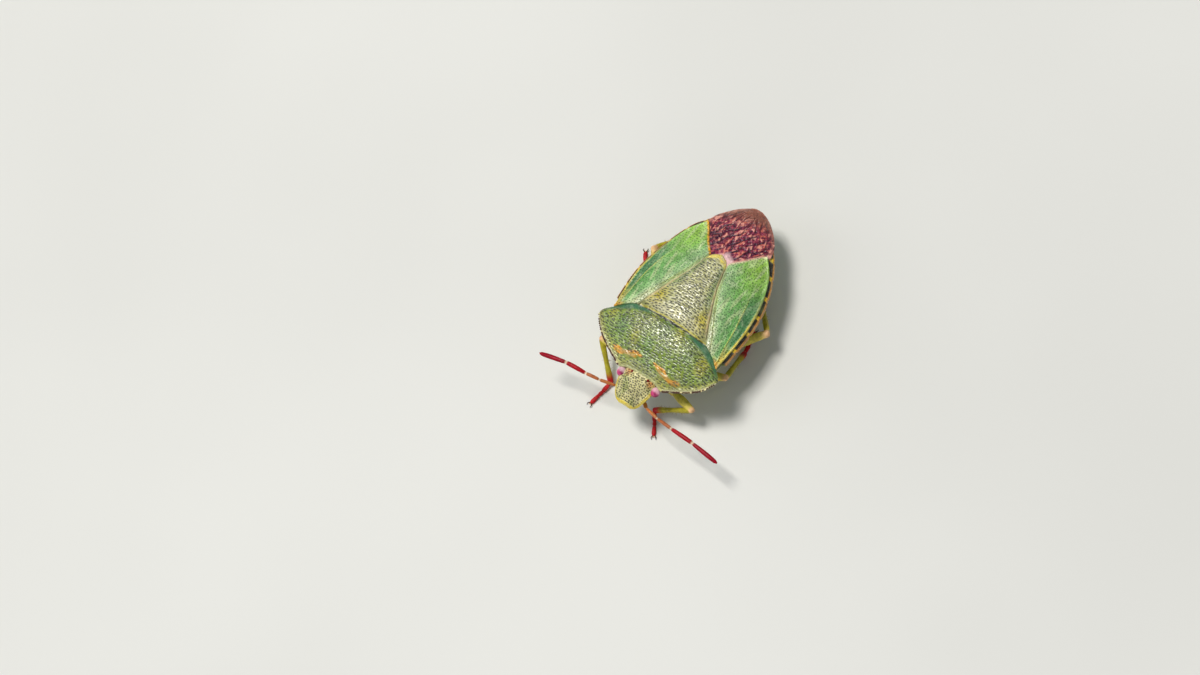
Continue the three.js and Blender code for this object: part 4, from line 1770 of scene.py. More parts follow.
@dataclass(frozen=True)
class Membrane:
    """Thin hind part of a forewing, lying over the tail; the left one is uppermost."""

    side: Side
    root: float = 2.85
    tail: float = 6.75
    thick: float = 0.07
    veins_each: int = 7
    vein_radius: float = 0.02
    rows: int = 150
    columns: int = 150
    half: Profile = Profile(
        (
            (2.9, 0.75),
            (3.6, 1.3),
            (4.3, 1.82),
            (4.75, 2.1),
            (5.2, 2.0),
            (5.8, 1.6),
            (6.3, 1.08),
            (6.6, 0.62),
            (6.75, 0.2),
        )
    )
    lap: Profile = Profile(
        ((2.4, -0.62), (3.4, -1.2), (4.4, -1.5), (5.4, -1.2), (6.2, -0.7), (7.2, -0.2))
    )

    def crinkle(self, x: Array, y: Array) -> Array:
        """Folds of the film, about -1 to 1, running back along it.

        Args:
            x: Across.
            y: Along.

        Returns:
            Heights of the folds.
        """
        long = ripple(x * 1.5 - y * 0.5, y * 0.6, 21, 1.7)
        short = ripple(x * 1.3, y * 1.3, 22, 3.0)
        return 0.55 * long + 0.65 * short

    def grooves(self, x: Array, y: Array) -> Array:
        """Share of the dark grooves that slant back between the veins.

        Args:
            x: Across.
            y: Along.

        Returns:
            Values from 0 to 1.
        """
        across = 0.82 * x - 0.57 * (y - 4.3) + 0.08 * ripple(x, y, 23, 0.7)
        lines = sum(bump(across, at, 0.095) for at in (-1.15, -0.75, -0.38, 0.06, 0.5, 0.95))
        broken = ease(ripple(x, y, 24, 1.1), -0.7, -0.2)
        return np.clip(lines * broken, 0, 1) * ease(y, 3.3, 3.6) * ease(y, 5.7, 5.2)

    def height(self, x: Array, y: Array) -> Array:
        """Height of the film's upper side.

        Args:
            x: Across.
            y: Along.

        Returns:
            Heights over the floor.
        """
        drop = 0.1 if self.side is Side.LEFT else 0.18
        calm = ease(y, 3.1, 3.8) * (1 - 0.7 * ease(y, 5.1, 6.0))
        folds = 0.03 * self.crinkle(x, y) * calm - 0.035 * self.grooves(x, y)
        return FORM.back(x, y) - drop + folds - 0.1 * ease(y, 6.2, 6.75)

    def build(self) -> Part:
        """Builds and dresses the film.

        Returns:
            The finished piece.
        """
        name = self.side.label
        v = np.linspace(0, 1, self.rows)[:, None]
        y = np.tile(self.root + (self.tail - self.root) * (1 - (1 - v) ** 1.3), (1, self.columns))
        s = np.linspace(0, 1, self.columns)[None, :]
        if self.side is Side.LEFT:
            low, high = np.maximum(self.lap(y), -self.half(y)), self.half(y)
        else:
            low, high = -self.half(y), np.minimum(self.half(y) - 0.25, 0.9)
        x = low + (high - low) * s
        z = self.height(x, y)
        upper, lower = joined(x, y, z), joined(x, y, z - self.thick)
        calm = ease(y, 3.5, 3.9) * (1 - 0.75 * ease(y, 5.4, 6.3)) * (1 - self.grooves(x, y))
        skin = shell(upper, lower, 0.02, self.paint(x, y), self.paint(x, y), calm, rings=3)
        made = skin.to_object(
            f"membrane_{name}_film", WingFilm(f"membrane_{name}_film").material()
        )
        return Part(made, (f"membrane_{name}",), "membrane")

    def paint(self, x: Array, y: Array) -> Array:
        """Colours of the film.

        Args:
            x: Across.
            y: Along.

        Returns:
            Linear colours.
        """
        base = undercoat(x, "8c2444")
        folds = self.crinkle(x, y)
        # Painted highlight and shade: coppery on the fold crests, dark in the fold hollows.
        base = coated(base, "d8705c", ease(folds, 0.1, 0.55) * 0.9)
        base = coated(base, "48082e", ease(folds, -0.1, -0.55) * 0.9)
        base = coated(base, "3c0a24", bump(x, -0.9, 0.9) * bump(y, 4.2, 0.9) * 0.6)
        base = coated(base, "2c0424", self.grooves(x, y))
        base = coated(base, "8a5a42", ease(y - 0.2 * x, 5.3, 6.3) * 0.8)
        edge = self.half(y) - np.abs(x)
        base = coated(base, "b87a66", ease(edge, 0.3, 0.04) * 0.65)
        front = y - np.interp(np.abs(x), [0.5, 1.2, 1.7, 2.2], [3.02, 3.75, 4.4, 4.95])
        near = ease(front, 0.26, 0.08) * (1.0 if self.side is Side.LEFT else 0.55)
        base = coated(base, "e0a494", near * ease(x, -0.2, 0.3) * 0.9)
        root = np.hypot(x - 0.25, (y - 3.2) * 1.1) + 0.1 * ripple(x, y, 51, 1.4)
        return coated(base, "efc4c4", ease(root, 0.58, 0.3) * 0.95)

    def veins(self) -> Part:
        """Raised veins of the film, fanning back from its root.

        Returns:
            The finished piece.
        """
        name = self.side.label
        points: list[Array] = []
        edges: list[tuple[int, int]] = []
        for k in range(self.veins_each):
            share = (k + 0.5) / self.veins_each
            t = np.linspace(0, 1, 40)
            y = 3.75 + (6.25 - 3.75) * t + 0.9 * abs(share - 0.45) * (1 - t)
            bow = 0.3 * np.sin(t * math.pi) * (share - 0.5) + 0.05 * np.sin(9 * t + k * 2.1)
            reach = self.half(y) * (0.94 - 0.12 * t)
            low = -0.8 if self.side is Side.LEFT else -0.9
            high = 0.95 if self.side is Side.LEFT else 0.2
            x = reach * (low + (high - low) * share) + bow
            if self.side is Side.LEFT:
                x = np.maximum(x, self.lap(y) + 0.1)
            start = len(points)
            z = self.height(x, y) + 0.003
            points += list(joined(x, y, z))
            edges += [(start + i, start + i + 1) for i in range(len(t) - 1)]
        mesh = bpy.data.meshes.new("vein_wires")
        mesh.from_pydata([tuple(p) for p in points], edges, [])
        finish = VeinFinish(f"membrane_{name}_veins").material()
        made = vein_tree().run(
            f"membrane_{name}_veins", mesh, {"Radius": self.vein_radius, "Finish": finish}
        )
        return Part(made, (), "membrane")


@dataclass(frozen=True)
class VeinFinish:
    """Dark glossy wing vein."""

    name: str

    def material(self) -> bpy.types.Material:
        """Builds the shader.

        Returns:
            The finished material.
        """
        board = Board(self.name)
        tone = board.between(board.noise(5.0, 2.0), 0.35, 0.65)
        colour = board.mixed(tone, srgb("2a0812"), srgb("6e222e"))
        return board.finish(colour, 0.3, board.relief(board.noise(18.0), 0.005), Coat_Weight=0.4)


@dataclass(frozen=True)
class Abdomen:
    """Hind body under the wings, with a banded side rim."""

    front: float = -1.64
    tail: float = 6.45
    rows: int = 220
    columns: int = 120
    seams: tuple[float, ...] = (-0.75, 0.45, 1.55, 2.7, 3.8, 4.75)

    def half(self, y: Array) -> Array:
        """Half its width, with a notch at each seam.

        Args:
            y: Along.

        Returns:
            Half widths.
        """
        notch = sum(bump(y, at, 0.12) for at in self.seams)
        end = np.where(y > 5.9, np.maximum(0.12, 1 - (np.maximum(y - 5.9, 0) / 0.62) ** 2), 1.0)
        return FORM.half(y) * end - 0.045 * notch

    def build(self) -> Part:
        """Builds and dresses the hind body.

        Returns:
            The finished piece.
        """
        y = np.tile(np.linspace(self.front, self.tail, self.rows)[:, None], (1, self.columns))
        s = spread(self.rows, self.columns, 0.97)
        x = s * self.half(y)
        rim = self.half(y) - np.abs(x)
        sunk = ease(rim, 0.3, 0.42)
        dips = 0.03 * sum(bump(y, at, 0.08) for at in self.seams)
        z = FORM.back(x, y) - 0.13 - 0.16 * ease(y, 4.35, 4.8) - 0.4 * sunk - dips
        z = z - 0.3 * ease(y, 6.1, self.tail)
        seam = sum(bump(y, at, 0.1) for at in self.seams)
        low = FORM.under(x, y, self.half(y)) + 0.05 * seam
        low = low + 0.03 * bump(np.abs(s), 0.83, 0.05)
        low = np.minimum(low, z - 0.12)
        upper, lower = joined(x, y, z), joined(x, y, low)
        paint, under = self.paint_rim(x, y), self.paint_belly(x, y, s)
        skin = shell(upper, lower, 0.04, paint, under, np.full(x.shape, 0.5), rings=6)
        finish = Cuticle(
            "abdomen_shell",
            grain_share=0.2,
            glint_share=0.15,
            wrinkle=(3, 3, 3),
            wrinkle_depth=0.012,
        )
        made = skin.to_object("abdomen_shell", finish.material())
        return Part(made, ("abdomen",), "abdomen")

    def paint_rim(self, x: Array, y: Array) -> Array:
        """Colours of the upper side, which shows as the banded rim.

        Args:
            x: Across.
            y: Along.

        Returns:
            Linear colours.
        """
        base = undercoat(x, "1e1c0c")
        base = coated(base, "6a7a34", bump(y, 2.1, 0.4) * 0.5)
        mark = sum(bump(y, at, 0.2) for at in self.seams)
        base = coated(base, "ecca22", ease(mark, 0.25, 0.7))
        rim = self.half(y) - np.abs(x)
        return coated(base, "c98a34", ease(rim, 0.05, 0.015) * 0.85)

    def paint_belly(self, x: Array, y: Array, s: Array) -> Array:
        """Colours of the underside.

        Args:
            x: Across.
            y: Along.
            s: Share of the half width.

        Returns:
            Linear colours.
        """
        base = undercoat(x, "9fb05a")
        base = coated(base, "c3c884", bump(s, 0.0, 0.25) * 0.6)
        base = coated(base, "7a8f3e", sum(bump(y, at, 0.06) for at in self.seams) * 0.7)
        middles = [0.5 * (a + b) for a, b in zip(self.seams[:-1], self.seams[1:])]
        dots = sum(bump(np.hypot((np.abs(s) - 0.84) * 3.0, y - m), 0, 0.11) for m in middles)
        base = coated(base, "2a2412", ease(dots, 0.3, 0.7))
        return coated(base, "c98a30", ease(np.abs(s), 0.965, 0.99))


@dataclass(frozen=True)
class Thorax:
    """Underside of the middle body, which carries the legs."""

    front: float = -4.6
    back_end: float = -1.75
    rows: int = 110
    columns: int = 110

    def build(self) -> Part:
        """Builds and dresses the piece.

        Returns:
            The finished piece.
        """
        y = np.tile(np.linspace(self.front, self.back_end, self.rows)[:, None], (1, self.columns))
        s = spread(self.rows, self.columns, 0.97)
        half = FORM.half(y) - 0.3
        x = s * half
        z = FORM.back(x, y) - 0.55
        seam = bump(y, -3.35, 0.1) + bump(y, -2.4, 0.1)
        low = FORM.under(x, y, half * 1.03) + 0.09 * seam * ease(np.abs(x), 0.3, 0.8)
        low = low + 0.1 * bump(x, 0, 0.22)
        low = low + 0.05 * bump(np.hypot(np.abs(x) - 2.1, (y + 2.1) * 1.6), 0.3, 0.16)
        low = np.minimum(low, z - 0.12)
        upper, lower = joined(x, y, z), joined(x, y, low)
        top = undercoat(x, "7f8a40")
        under = undercoat(x, "a9b56a")
        under = coated(under, "6f8036", seam * 0.5)
        under = coated(under, "c8cc96", bump(x, 0, 0.5) * 0.6)
        skin = shell(upper, lower, 0.05, top, under, np.full(x.shape, 0.5))
        finish = Cuticle(
            "thorax_shell", grain=6.0, grain_share=0.45, glint_share=0.15, wrinkle=(3, 3, 3)
        )
        made = skin.to_object("thorax_shell", finish.material())
        return Part(made, ("thorax",), "underside")


@dataclass(frozen=True)
class Head:
    """Flat round-fronted head, densely pitted, with a pale rim and two simple eyes at the back."""

    tip: float = -6.3
    root: float = -4.3
    rows: int = 150
    columns: int = 130
    pits: Punctures = Punctures(
        across=0.13, along=0.12, length=0.062, width=0.05, wander=0.05, seed=14
    )
    half: Profile = Profile(
        (
            (-6.3, 0.36),
            (-6.22, 0.56),
            (-6.05, 0.74),
            (-5.8, 0.87),
            (-5.5, 0.98),
            (-5.2, 1.04),
            (-4.9, 1.0),
            (-4.6, 0.92),
            (-4.2, 0.88),
        )
    )
    turn: Profile = Profile(((-6.3, -0.12), (-5.6, -0.09), (-4.6, 0), (-4.2, 0)))
    top: Profile = Profile(((-6.3, 2.98), (-6.0, 3.18), (-5.5, 3.44), (-5.0, 3.63), (-4.2, 3.84)))
    bottom: Profile = Profile(((-6.3, 2.54), (-5.9, 2.22), (-5.2, 2.02), (-4.2, 2.1)))

    def surface(self, x: Array, y: Array) -> Array:
        """Height of the upper side.

        Args:
            x: Across.
            y: Along.

        Returns:
            Heights over the floor.
        """
        side = np.abs(x - self.turn(y))
        across = np.minimum(side / self.half(y), 1.0)
        groove = bump(side - 0.06 * (y + 6.2), 0.26, 0.08) * ease(y, -5.2, -5.6) * 0.035
        lobe = bump(side, 0, 0.24) * bump(y, -5.7, 0.8) * 0.03
        rim = bump(across, 0.95, 0.06) * 0.035 + bump(y, self.tip + 0.05, 0.1) * 0.03
        bare = 0.012 * ripple(x, y, 6, 1.6)
        return self.top(y) * (1 - 0.07 * across**2.6) - groove + lobe + rim + bare

    def build(self) -> Part:
        """Builds and dresses the head.

        Returns:
            The finished piece.
        """
        v = np.linspace(0, 1, self.rows)[:, None]
        y = np.tile(self.tip + (self.root - self.tip) * v**1.3, (1, self.columns))
        s = spread(self.rows, self.columns, 0.95)
        x = self.turn(y) + s * self.half(y)
        bare = np.clip(
            ease(np.abs(s), 0.88, 0.96) + ease(y, self.tip + 0.14, self.tip + 0.06), 0, 1
        )
        pit = self.pits.depth(x, y) * (1 - bare)
        z = self.surface(x, y) - 0.034 * pit
        low = self.bottom(y) + np.maximum(z - 0.2 - self.bottom(y), 0) * np.abs(s) ** 3
        cheek = bump(np.abs(x - self.turn(y)), 0.3, 0.14) * ease(y, -4.9, -5.3) * 0.12
        low = np.minimum(low - cheek, z - 0.1)
        upper, lower = joined(x, y, z), joined(x, y, low)
        under = undercoat(x, "a8b068")
        tint = blend(self.paint(x, y, s), srgb("201e0c"), pit)
        skin = shell(upper, lower, 0.06, tint, under, 0.6 * (1 - pit))
        finish = Cuticle(
            "head_shell", glint_colour=srgb("f2ecc6"), glint_share=0.4, wrinkle=(5, 5, 5), coat=0.3
        )
        return Part(skin.to_object("head_shell", finish.material()), ("head",), "head")

    def paint(self, x: Array, y: Array, s: Array) -> Array:
        """Colours of the upper side.

        Args:
            x: Across.
            y: Along.
            s: Share of the half width.

        Returns:
            Linear colours.
        """
        base = undercoat(x, "cfc688")
        base = coated(base, "98a04c", ease(ripple(x, y, 44, 0.9), 0.1, 0.7) * 0.7)
        base = coated(base, "e0c848", ease(np.abs(s), 0.91, 0.97) * ease(y, -4.8, -5.3))
        tan = bump(np.hypot(np.abs(x) - 0.72, (y + 4.72) * 0.8), 0, 0.34)
        base = coated(base, "cc8a44", tan)
        return coated(base, "e2c83c", ease(y, self.tip + 0.13, self.tip + 0.04))


@dataclass(frozen=True)
class Eye:
    """One compound eye, a ball of domed lenses set into the side of the head."""

    side: Side
    centre: tuple[float, float, float] = (1.14, -4.93, 3.28)
    radii: tuple[float, float, float] = (0.255, 0.28, 0.27)
    inset: float = 0.72
    dome: float = 0.006

    def build(self) -> Part:
        """Builds and dresses the eye.

        Returns:
            The finished piece.
        """
        name = self.side.label
        ball = bmesh.new()
        bmesh.ops.create_icosphere(ball, subdivisions=4, radius=1.0)
        mesh = bpy.data.meshes.new("eye_ball")
        ball.to_mesh(mesh)
        ball.free()
        points = np.empty(len(mesh.vertices) * 3, dtype=np.float32)
        mesh.vertices.foreach_get("co", points)
        x, y, z = self.centre
        placed = (
            points.reshape(-1, 3) * np.array(self.radii) + np.array([self.side.value * x, y, z])
        )
        mesh.vertices.foreach_set("co", placed.astype(np.float32).ravel())
        finish = EyeGlaze(f"eye_{name}_glaze").material()
        values = {"Inset": self.inset, "Dome": self.dome, "Finish": finish}
        made = facet_tree().run(f"eye_{name}_facets", mesh, values)
        return Part(made, (f"eye_{name}",), "eye")


@dataclass(frozen=True)
class SimpleEyes:
    """Two small red beads at the back of the head."""

    place: tuple[float, float] = (0.53, -4.66)
    radius: float = 0.085

    def build(self) -> Part:
        """Builds and dresses both.

        Returns:
            The finished piece.
        """
        skins = []
        head = Head()
        for sign in (-1, 1):
            x, y = sign * self.place[0], self.place[1]
            z = float(head.surface(np.array(x), np.array(y)))
            size = Profile(((0, 1.0), (1, 0.8)))
            path = [(x, y, z - 0.06), (x, y, z + 0.015)]
            paint = one_colour(srgb("7c1418"))
            skins.append(
                tube(path, lambda t: self.radius * size(t), paint, 6, 20, cap=0.9, gloss=1.0)
            )
        finish = LimbFinish("simple_eye_glaze", speck_share=0.0, roughness=0.12)
        return Part(Skin.merged(skins).to_object("simple_eyes", finish.material()), (), "eye")


@dataclass(frozen=True)
class Beak:
    """Four-jointed beak folded back along the middle of the underside."""

    widths: tuple[float, ...] = (0.2, 0.17, 0.14, 0.12)
    joints: tuple[tuple[float, float, float], ...] = (
        (0, -5.9, 2.34),
        (0, -5.45, 1.74),
        (0, -4.55, 1.3),
        (0, -3.6, 0.98),
        (0, -2.75, 0.9),
    )

    def build(self) -> Part:
        """Builds and dresses the beak.

        Returns:
            The finished piece.
        """
        skins = []
        for k, (start, end) in enumerate(zip(self.joints[:-1], self.joints[1:])):
            last = k == 3
            form = Profile(((0, 0.9), (0.2, 1.0), (0.8, 0.9), (1, 0.35 if last else 0.75)))
            colour = srgb("2e2410") if last else srgb("9aa050")
            width = self.widths[k]
            skins.append(
                tube([start, end], lambda t, w=width, f=form: w * f(t), one_colour(colour), 24, 16)
            )
        finish = LimbFinish("beak_shell")
        return Part(
            Skin.merged(skins).to_object("rostrum_joints", finish.material()),
            ("rostrum",),
            "underside",
        )


@dataclass(frozen=True)
class Antenna:
    """Five-jointed feeler: thin tan root joints, thick red end joints."""

    side: Side
    joints: tuple[tuple[float, float, float], ...]
    widths: tuple[float, ...] = (0.115, 0.095, 0.1, 0.13, 0.135)
    colours: tuple[str, ...] = ("c47a38", "bc7240", "b0643a", "a80c1a", "980a20")

    def build(self) -> Part:
        """Builds and dresses the feeler.

        Returns:
            The finished piece.
        """
        name = self.side.label
        skins = []
        pale = np.array(srgb("f0d8b8"))
        for k, (start, end) in enumerate(zip(self.joints[:-1], self.joints[1:])):
            a, b = np.array(start), np.array(end)
            gap = (b - a) / np.linalg.norm(b - a) * 0.03
            last = k == 4
            bend = (a + b) / 2 + np.array([0.0, 0.0, 0.03])
            form = Profile(
                (
                    (0, 0.62),
                    (0.12, 0.85),
                    (0.6, 1.0),
                    (0.92, 0.8 if last else 0.95),
                    (1, 0.4 if last else 0.8),
                )
            )
            colour = np.array(srgb(self.colours[k]))

            def paint(at: Array, turn: Array, c: Array = colour, k: int = k) -> Array:
                """Pale at both joints, darker along the middle.

                Args:
                    at: Share of its length.
                    turn: Turn round it; not used.
                    c: Colour of the middle.
                    k: Which joint it is.

                Returns:
                    Linear colours.
                """
                base = np.tile(c, (len(at), 1))
                base = blend(base, pale, ease(at, 0.06, 0.0) * (k > 0) * 0.9)
                return blend(base, pale, ease(at, 0.955, 1.0) * (0 < k < 4) * 0.8)

            width = self.widths[k]
            skins.append(
                tube([a + gap, bend, b - gap], lambda t, w=width, f=form: w * f(t), paint, 34, 18)
            )
            if k:
                ring = [a - gap * 1.3, a + gap * 1.6]
                skins.append(
                    tube(ring, lambda t, w=width: 0.55 * w + 0 * t, one_colour(pale), 6, 12)
                )
        finish = LimbFinish(f"antenna_{name}_shell", specks=11.0, speck_share=0.25, roughness=0.3)
        made = Skin.merged(skins).to_object(f"antenna_{name}_joints", finish.material())
        return Part(made, (f"antenna_{name}",), "feeler")


@dataclass(frozen=True)
class Leg:
    """One leg: coxa, trochanter, thigh, shin, three foot joints, pads and claws.

    hair_floor is the height under which no hair grows, so that none goes into the floor.
    """

    name: str
    coxa: tuple[float, float, float]
    knee: tuple[float, float, float]
    shin: tuple[float, float, float]
    foot: tuple[float, float, float]
    thick: float = 0.27
    hair_density: float = 45.0
    hair_length: float = 0.17
    hair_radius: float = 0.009
    hair_floor: float = 0.2

    def places(self) -> tuple[Array, Array, Array, Array]:
        """Joints of the leg, with the foot set down on the floor.

        Returns:
            Hip, knee, ankle and the end of the foot.
        """
        coxa, knee, shin, foot = map(np.array, (self.coxa, self.knee, self.shin, self.foot))
        return coxa, knee, shin - [0, 0, 0.12], foot * [1, 1, 0] + [0, 0, 0.1]

    def build(self) -> Part:
        """Builds and dresses the leg.

        Returns:
            The finished piece.
        """
        coxa, knee, shin, foot = self.places()
        green, yellow, pink = (np.array(srgb(c)) for c in ("d2c250", "dcc868", "e6b48c"))
        red, dark = np.array(srgb("b81e22")), np.array(srgb("3a1a14"))
        hip = coxa + (knee - coxa) * 0.17
        hip[2] = coxa[2] - 0.1
        skins = []
        root = [coxa * [0.92, 1, 1] + [0, 0, 0.4], coxa + [0, 0, 0.02], hip]
        skins.append(
            tube(root, Profile(((0, 0.34), (0.5, 0.36), (1, 0.24))), one_colour(green), 18, 20)
        )
        trochanter = [hip, hip + (knee - hip) * 0.13]
        skins.append(
            tube(
                trochanter,
                Profile(((0, 0.19), (0.5, 0.23), (1, 0.17))),
                one_colour(yellow),
                10,
                18,
            )
        )
        rise = hip + (knee - hip) * 0.55 + [0, 0, 0.07]
        form = Profile(((0, 0.55), (0.15, 0.78), (0.5, 1.0), (0.85, 0.82), (1, 0.72)))

        def thigh_paint(at: Array, turn: Array) -> Array:
            """Yellow-green, pale pink at the knee.

            Args:
                at: Share of its length.
                turn: Turn round it.

            Returns:
                Linear colours.
            """
            base = np.tile(green, (len(at), 1))
            base = blend(base, yellow, bump(turn, 1.5, 1.6) * 0.6)
            return blend(base, pink, ease(at, 0.86, 1.0) * 0.85)

        start = hip + (knee - hip) * 0.1
        skins.append(
            tube(
                [start, rise, knee], lambda t: self.thick * form(t), thigh_paint, 44, 22, flat=0.9
            )
        )
        middle = (knee + shin) / 2 + [0, 0, 0.06]
        calf = Profile(((0, 0.75), (0.12, 1.0), (0.5, 0.82), (0.9, 1.05), (1, 0.95)))

        def shin_paint(at: Array, turn: Array) -> Array:
            """Yellow-brown, turning red towards the foot.

            Args:
                at: Share of its length.
                turn: Turn round it; not used.

            Returns:
                Linear colours.
            """
            base = np.tile(np.array(srgb("aca030")), (len(at), 1))
            base = blend(base, pink, ease(at, 0.07, 0.0) * 0.8)
            return blend(base, red, ease(at, 0.72, 0.92))

        skins.append(tube([knee, middle, shin], lambda t: 0.165 * calf(t), shin_paint, 40, 18))
        way = foot - shin
        flat_way = way * [1, 1, 0] / np.linalg.norm(way[:2])
        cuts = [shin, shin + way * 0.42, shin + way * 0.6, foot]
        cuts[1][2], cuts[2][2] = 0.13, 0.12
        for a, b, size in ((0, 1, 0.13), (1, 2, 0.115), (2, 3, 0.125)):
            pad = Profile(((0, 0.6), (0.3, 0.85), (0.85, 1.0), (1, 0.8)))
            skins.append(
                tube(
                    [cuts[a], cuts[b]],
                    lambda t, s=size: s * pad(t),
                    one_colour(red),
                    16,
                    16,
                    flat=0.8,
                )
            )
        across = np.array([-flat_way[1], flat_way[0], 0.0])
        for sign in (-1, 1):
            base = foot + flat_way * 0.03 + across * 0.04 * sign
            bend = base + flat_way * 0.12 + across * 0.09 * sign + [0, 0, 0.03]
            tip = base + flat_way * 0.23 + across * 0.08 * sign - [0, 0, 0.07]
            claw = Profile(((0, 0.035), (1, 0.01)))
            skins.append(tube([base, bend, tip], claw, one_colour(dark), 14, 8))
            cushion = base + flat_way * 0.08 + across * 0.02 * sign - [0, 0, 0.04]
            skins.append(
                tube([base, cushion], Profile(((0, 0.03), (1, 0.045))), one_colour(pink), 8, 10)
            )
        finish = LimbFinish(f"leg_{self.name}_shell", specks=8.0, speck_share=0.45)
        made = Skin.merged(skins).to_object(f"leg_{self.name}_joints", finish.material())
        return Part(made, (f"leg_{self.name}",), "leg")

    def hairs(self) -> Part:
        """Short hairs on the shin and foot.

        Returns:
            The finished piece.
        """
        _, knee, shin, foot = self.places()
        ahead = knee + (shin - knee) * 0.2
        line = [ahead, (ahead + shin) / 2 + [0, 0, 0.03], shin, shin + (foot - shin) * 0.9]
        sleeve = tube(line, lambda t: 0.13 - 0.04 * t, one_colour((0, 0, 0)), 30, 12)
        low = [min(sleeve.points[corner][2] for corner in face) for face in sleeve.faces]
        clear = [face for face, bottom in zip(sleeve.faces, low) if bottom > self.hair_floor]
        base = plain_mesh("hair_bed", sleeve.points, clear)
        finish = HairFinish(f"leg_{self.name}_hair").material()
        values = {
            "Density": self.hair_density,
            "Length": self.hair_length,
            "Radius": self.hair_radius,
            "Seed": len(self.name),
            "Finish": finish,
        }
        made = hair_tree().run(f"leg_{self.name}_hairs", base, values)
        return Part(made, (), "leg")


@dataclass(frozen=True)
class HairFinish:
    """Pale brown hair."""

    name: str

    def material(self) -> bpy.types.Material:
        """Builds the shader.

        Returns:
            The finished material.
        """
        board = Board(self.name)
        tone = board.between(board.noise(3.0, 1.0), 0.35, 0.65)
        colour = board.mixed(tone, srgb("c9b48a"), srgb("8a6a44"))
        return board.finish(colour, 0.45, None)


FEELER_JOINTS = {
    Side.LEFT: (
        (0.55, -5.5, 2.5),
        (0.95, -5.8, 2.46),
        (1.85, -5.99, 2.58),
        (2.87, -6.07, 2.7),
        (4.34, -6.13, 2.7),
        (6.12, -6.33, 2.6),
    ),
    Side.RIGHT: (
        (-0.6, -5.35, 2.5),
        (-1.16, -5.65, 2.55),
        (-2.08, -5.9, 2.8),
        (-2.89, -6.01, 2.9),
        (-4.15, -6.09, 3.0),
        (-5.79, -6.43, 2.9),
    ),
}

LEGS = (
    Leg(
        "front_left",
        (0.85, -3.95, 1.35),
        (3.05, -4.5, 1.98),
        (0.72, -5.32, 0.42),
        (1.42, -6.48, 0.17),
        0.24,
    ),
    Leg(
        "front_right",
        (-0.85, -3.95, 1.35),
        (-3.66, -3.73, 1.98),
        (-2.3, -5.3, 0.42),
        (-2.62, -6.8, 0.17),
        0.24,
    ),
    Leg(
        "middle_left",
        (1.0, -2.85, 1.3),
        (3.56, -1.96, 1.95),
        (3.12, 0.0, 0.42),
        (2.85, 1.32, 0.17),
    ),
    Leg(
        "middle_right",
        (-1.0, -2.85, 1.3),
        (-3.45, -1.3, 2.05),
        (-4.3, 0.75, 0.42),
        (-5.05, 1.95, 0.17),
    ),
    Leg(
        "hind_left",
        (1.15, -1.75, 1.2),
        (4.1, 1.33, 2.02),
        (1.6, 3.6, 0.42),
        (0.75, 4.75, 0.17),
        0.29,
    ),
    Leg(
        "hind_right",
        (-1.15, -1.75, 1.2),
        (-4.1, 2.1, 2.1),
        (-2.5, 4.85, 0.42),
        (-1.95, 6.15, 0.17),
        0.29,
    ),
)


# Studio.


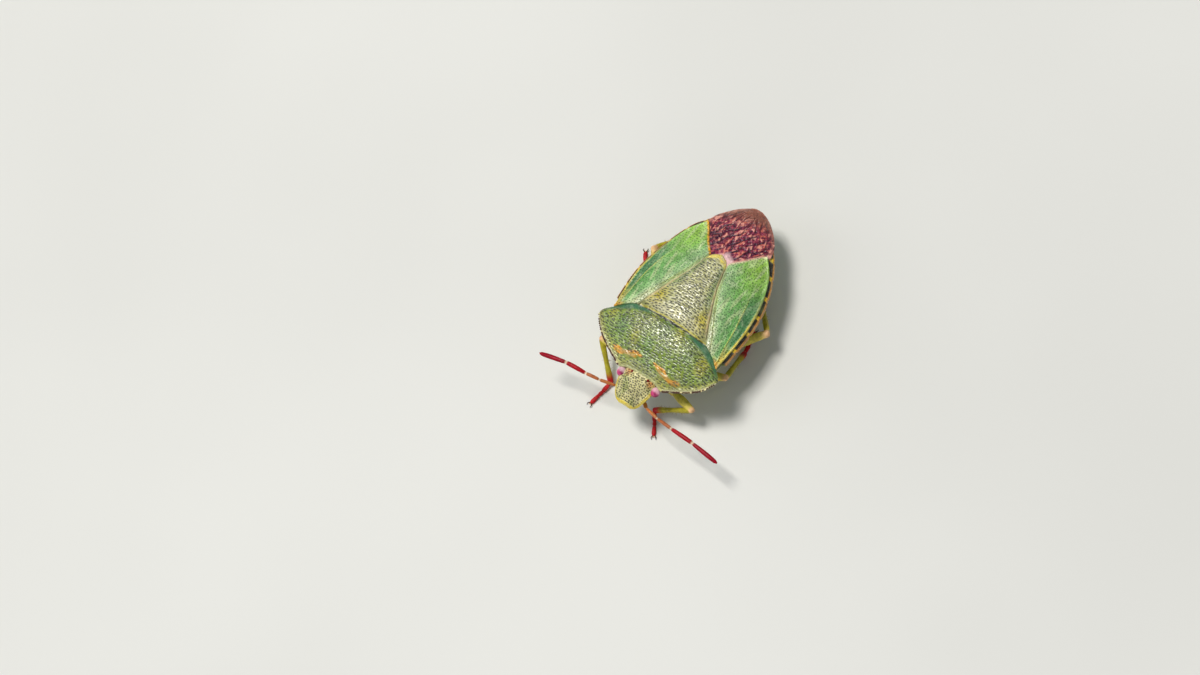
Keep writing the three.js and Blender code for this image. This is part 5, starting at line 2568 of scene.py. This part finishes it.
@dataclass(frozen=True)
class Studio:
    """Pale floor, soft lights and the camera at the photograph's angle."""

    eye: tuple[float, float, float] = (89.696, -47.096, 273.174)
    right: tuple[float, float, float] = (0.80299534, 0.56615044, -0.18620465)
    up: tuple[float, float, float] = (-0.50145519, 0.81065677, 0.30228842)
    view_degrees: float = 13.0
    floor_half: float = 2.0

    def camera(self) -> None:
        """Places the camera."""
        data = bpy.data.cameras.new("camera")
        data.sensor_width = 36.0
        data.lens = 18.0 / math.tan(math.radians(self.view_degrees / 2))
        data.clip_start, data.clip_end = 0.005, 20.0
        made = bpy.data.objects.new("camera", data)
        bpy.context.scene.collection.objects.link(made)
        right, up = Vector(self.right).normalized(), Vector(self.up).normalized()
        back = right.cross(up).normalized()
        up = back.cross(right)
        turn = Matrix((right, up, back)).transposed().to_4x4()
        place = (Vector(self.eye) + Vector(ORIGIN)) * MM
        made.matrix_world = Matrix.Translation(place) @ turn
        bpy.context.scene.camera = made

    def floor(self) -> None:
        """Lays the floor."""
        size = self.floor_half
        mesh = bpy.data.meshes.new("floor")
        corners = [(-size, -size, 0), (size, -size, 0), (size, size, 0), (-size, size, 0)]
        mesh.from_pydata(corners, [], [(0, 1, 2, 3)])
        mesh.materials.append(PlainGround().material())
        made = bpy.data.objects.new("floor", mesh)
        bpy.context.scene.collection.objects.link(made)

    def lamp(
        self,
        name: str,
        toward: Sequence[float],
        far: float,
        size: float,
        watts: float,
        colour: Sequence[float],
    ) -> None:
        """Adds a soft square light aimed at the model.

        Args:
            name: Its name.
            toward: Direction from the model to the light.
            far: Distance in metres.
            size: Side in metres.
            watts: Power.
            colour: Linear colour.
        """
        data = bpy.data.lights.new(name, "AREA")
        data.shape, data.size, data.energy, data.color = "SQUARE", size, watts, tuple(colour)
        made = bpy.data.objects.new(name, data)
        bpy.context.scene.collection.objects.link(made)
        way = Vector(toward).normalized()
        made.matrix_world = (
            Matrix.Translation(way * far) @ way.to_track_quat("Z", "Y").to_matrix().to_4x4()
        )

    def lights(self) -> None:
        """Adds the world's glow and the lights."""
        world = bpy.data.worlds.new("studio")
        world.use_nodes = True
        glow = world.node_tree.nodes["Background"]
        glow.inputs["Color"].default_value = (0.82, 0.9, 1.0, 1.0)
        glow.inputs["Strength"].default_value = 0.24
        bpy.context.scene.world = world
        self.lamp("key", (-0.26, 0.02, 0.95), 0.6, 0.15, 2.9, (1.0, 0.98, 0.95))
        self.lamp("side", (-0.9, -0.7, 0.8), 0.7, 0.4, 0.8, (0.9, 0.96, 1.0))
        self.lamp("front", (0.8, -0.9, 0.7), 0.8, 0.5, 0.6, (1.0, 0.98, 0.94))

    def build(self) -> None:
        """Builds the whole studio."""
        self.camera()
        self.floor()
        self.lights()
        bpy.context.scene.view_settings.view_transform = "Standard"


def dress(part: Part) -> None:
    """Ties a piece to the frame and reports it.

    Args:
        part: The piece.
    """
    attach(part.made, "root")
    if part.nodes:
        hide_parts(*part.nodes)
    LOG.info("%s: %d faces", part.made.name, len(part.made.data.polygons))


def parts() -> Iterable[Part]:
    """Builds every piece in order.

    Returns:
        The pieces.
    """
    yield Pronotum().build()
    yield Pronotum().beads()
    yield Scutellum().build()
    for side in Side:
        yield Forewing(side).build()
        film = Membrane(side)
        yield film.build()
        yield film.veins()
    yield Abdomen().build()
    yield Thorax().build()
    yield Head().build()
    for side in Side:
        yield Eye(side).build()
    yield SimpleEyes().build()
    yield Beak().build()
    for side, joints in FEELER_JOINTS.items():
        yield Antenna(side, joints).build()
    for leg in LEGS:
        yield leg.build()
        yield leg.hairs()


def main() -> None:
    """Loads the frame, builds the studio and every piece, and logs each piece's face count."""
    logging.basicConfig(level=logging.INFO, format="%(name)s: %(message)s")
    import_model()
    Studio().build()
    for part in parts():
        dress(part)
    bpy.context.view_layer.update()


if __name__ == "__main__":
    main()
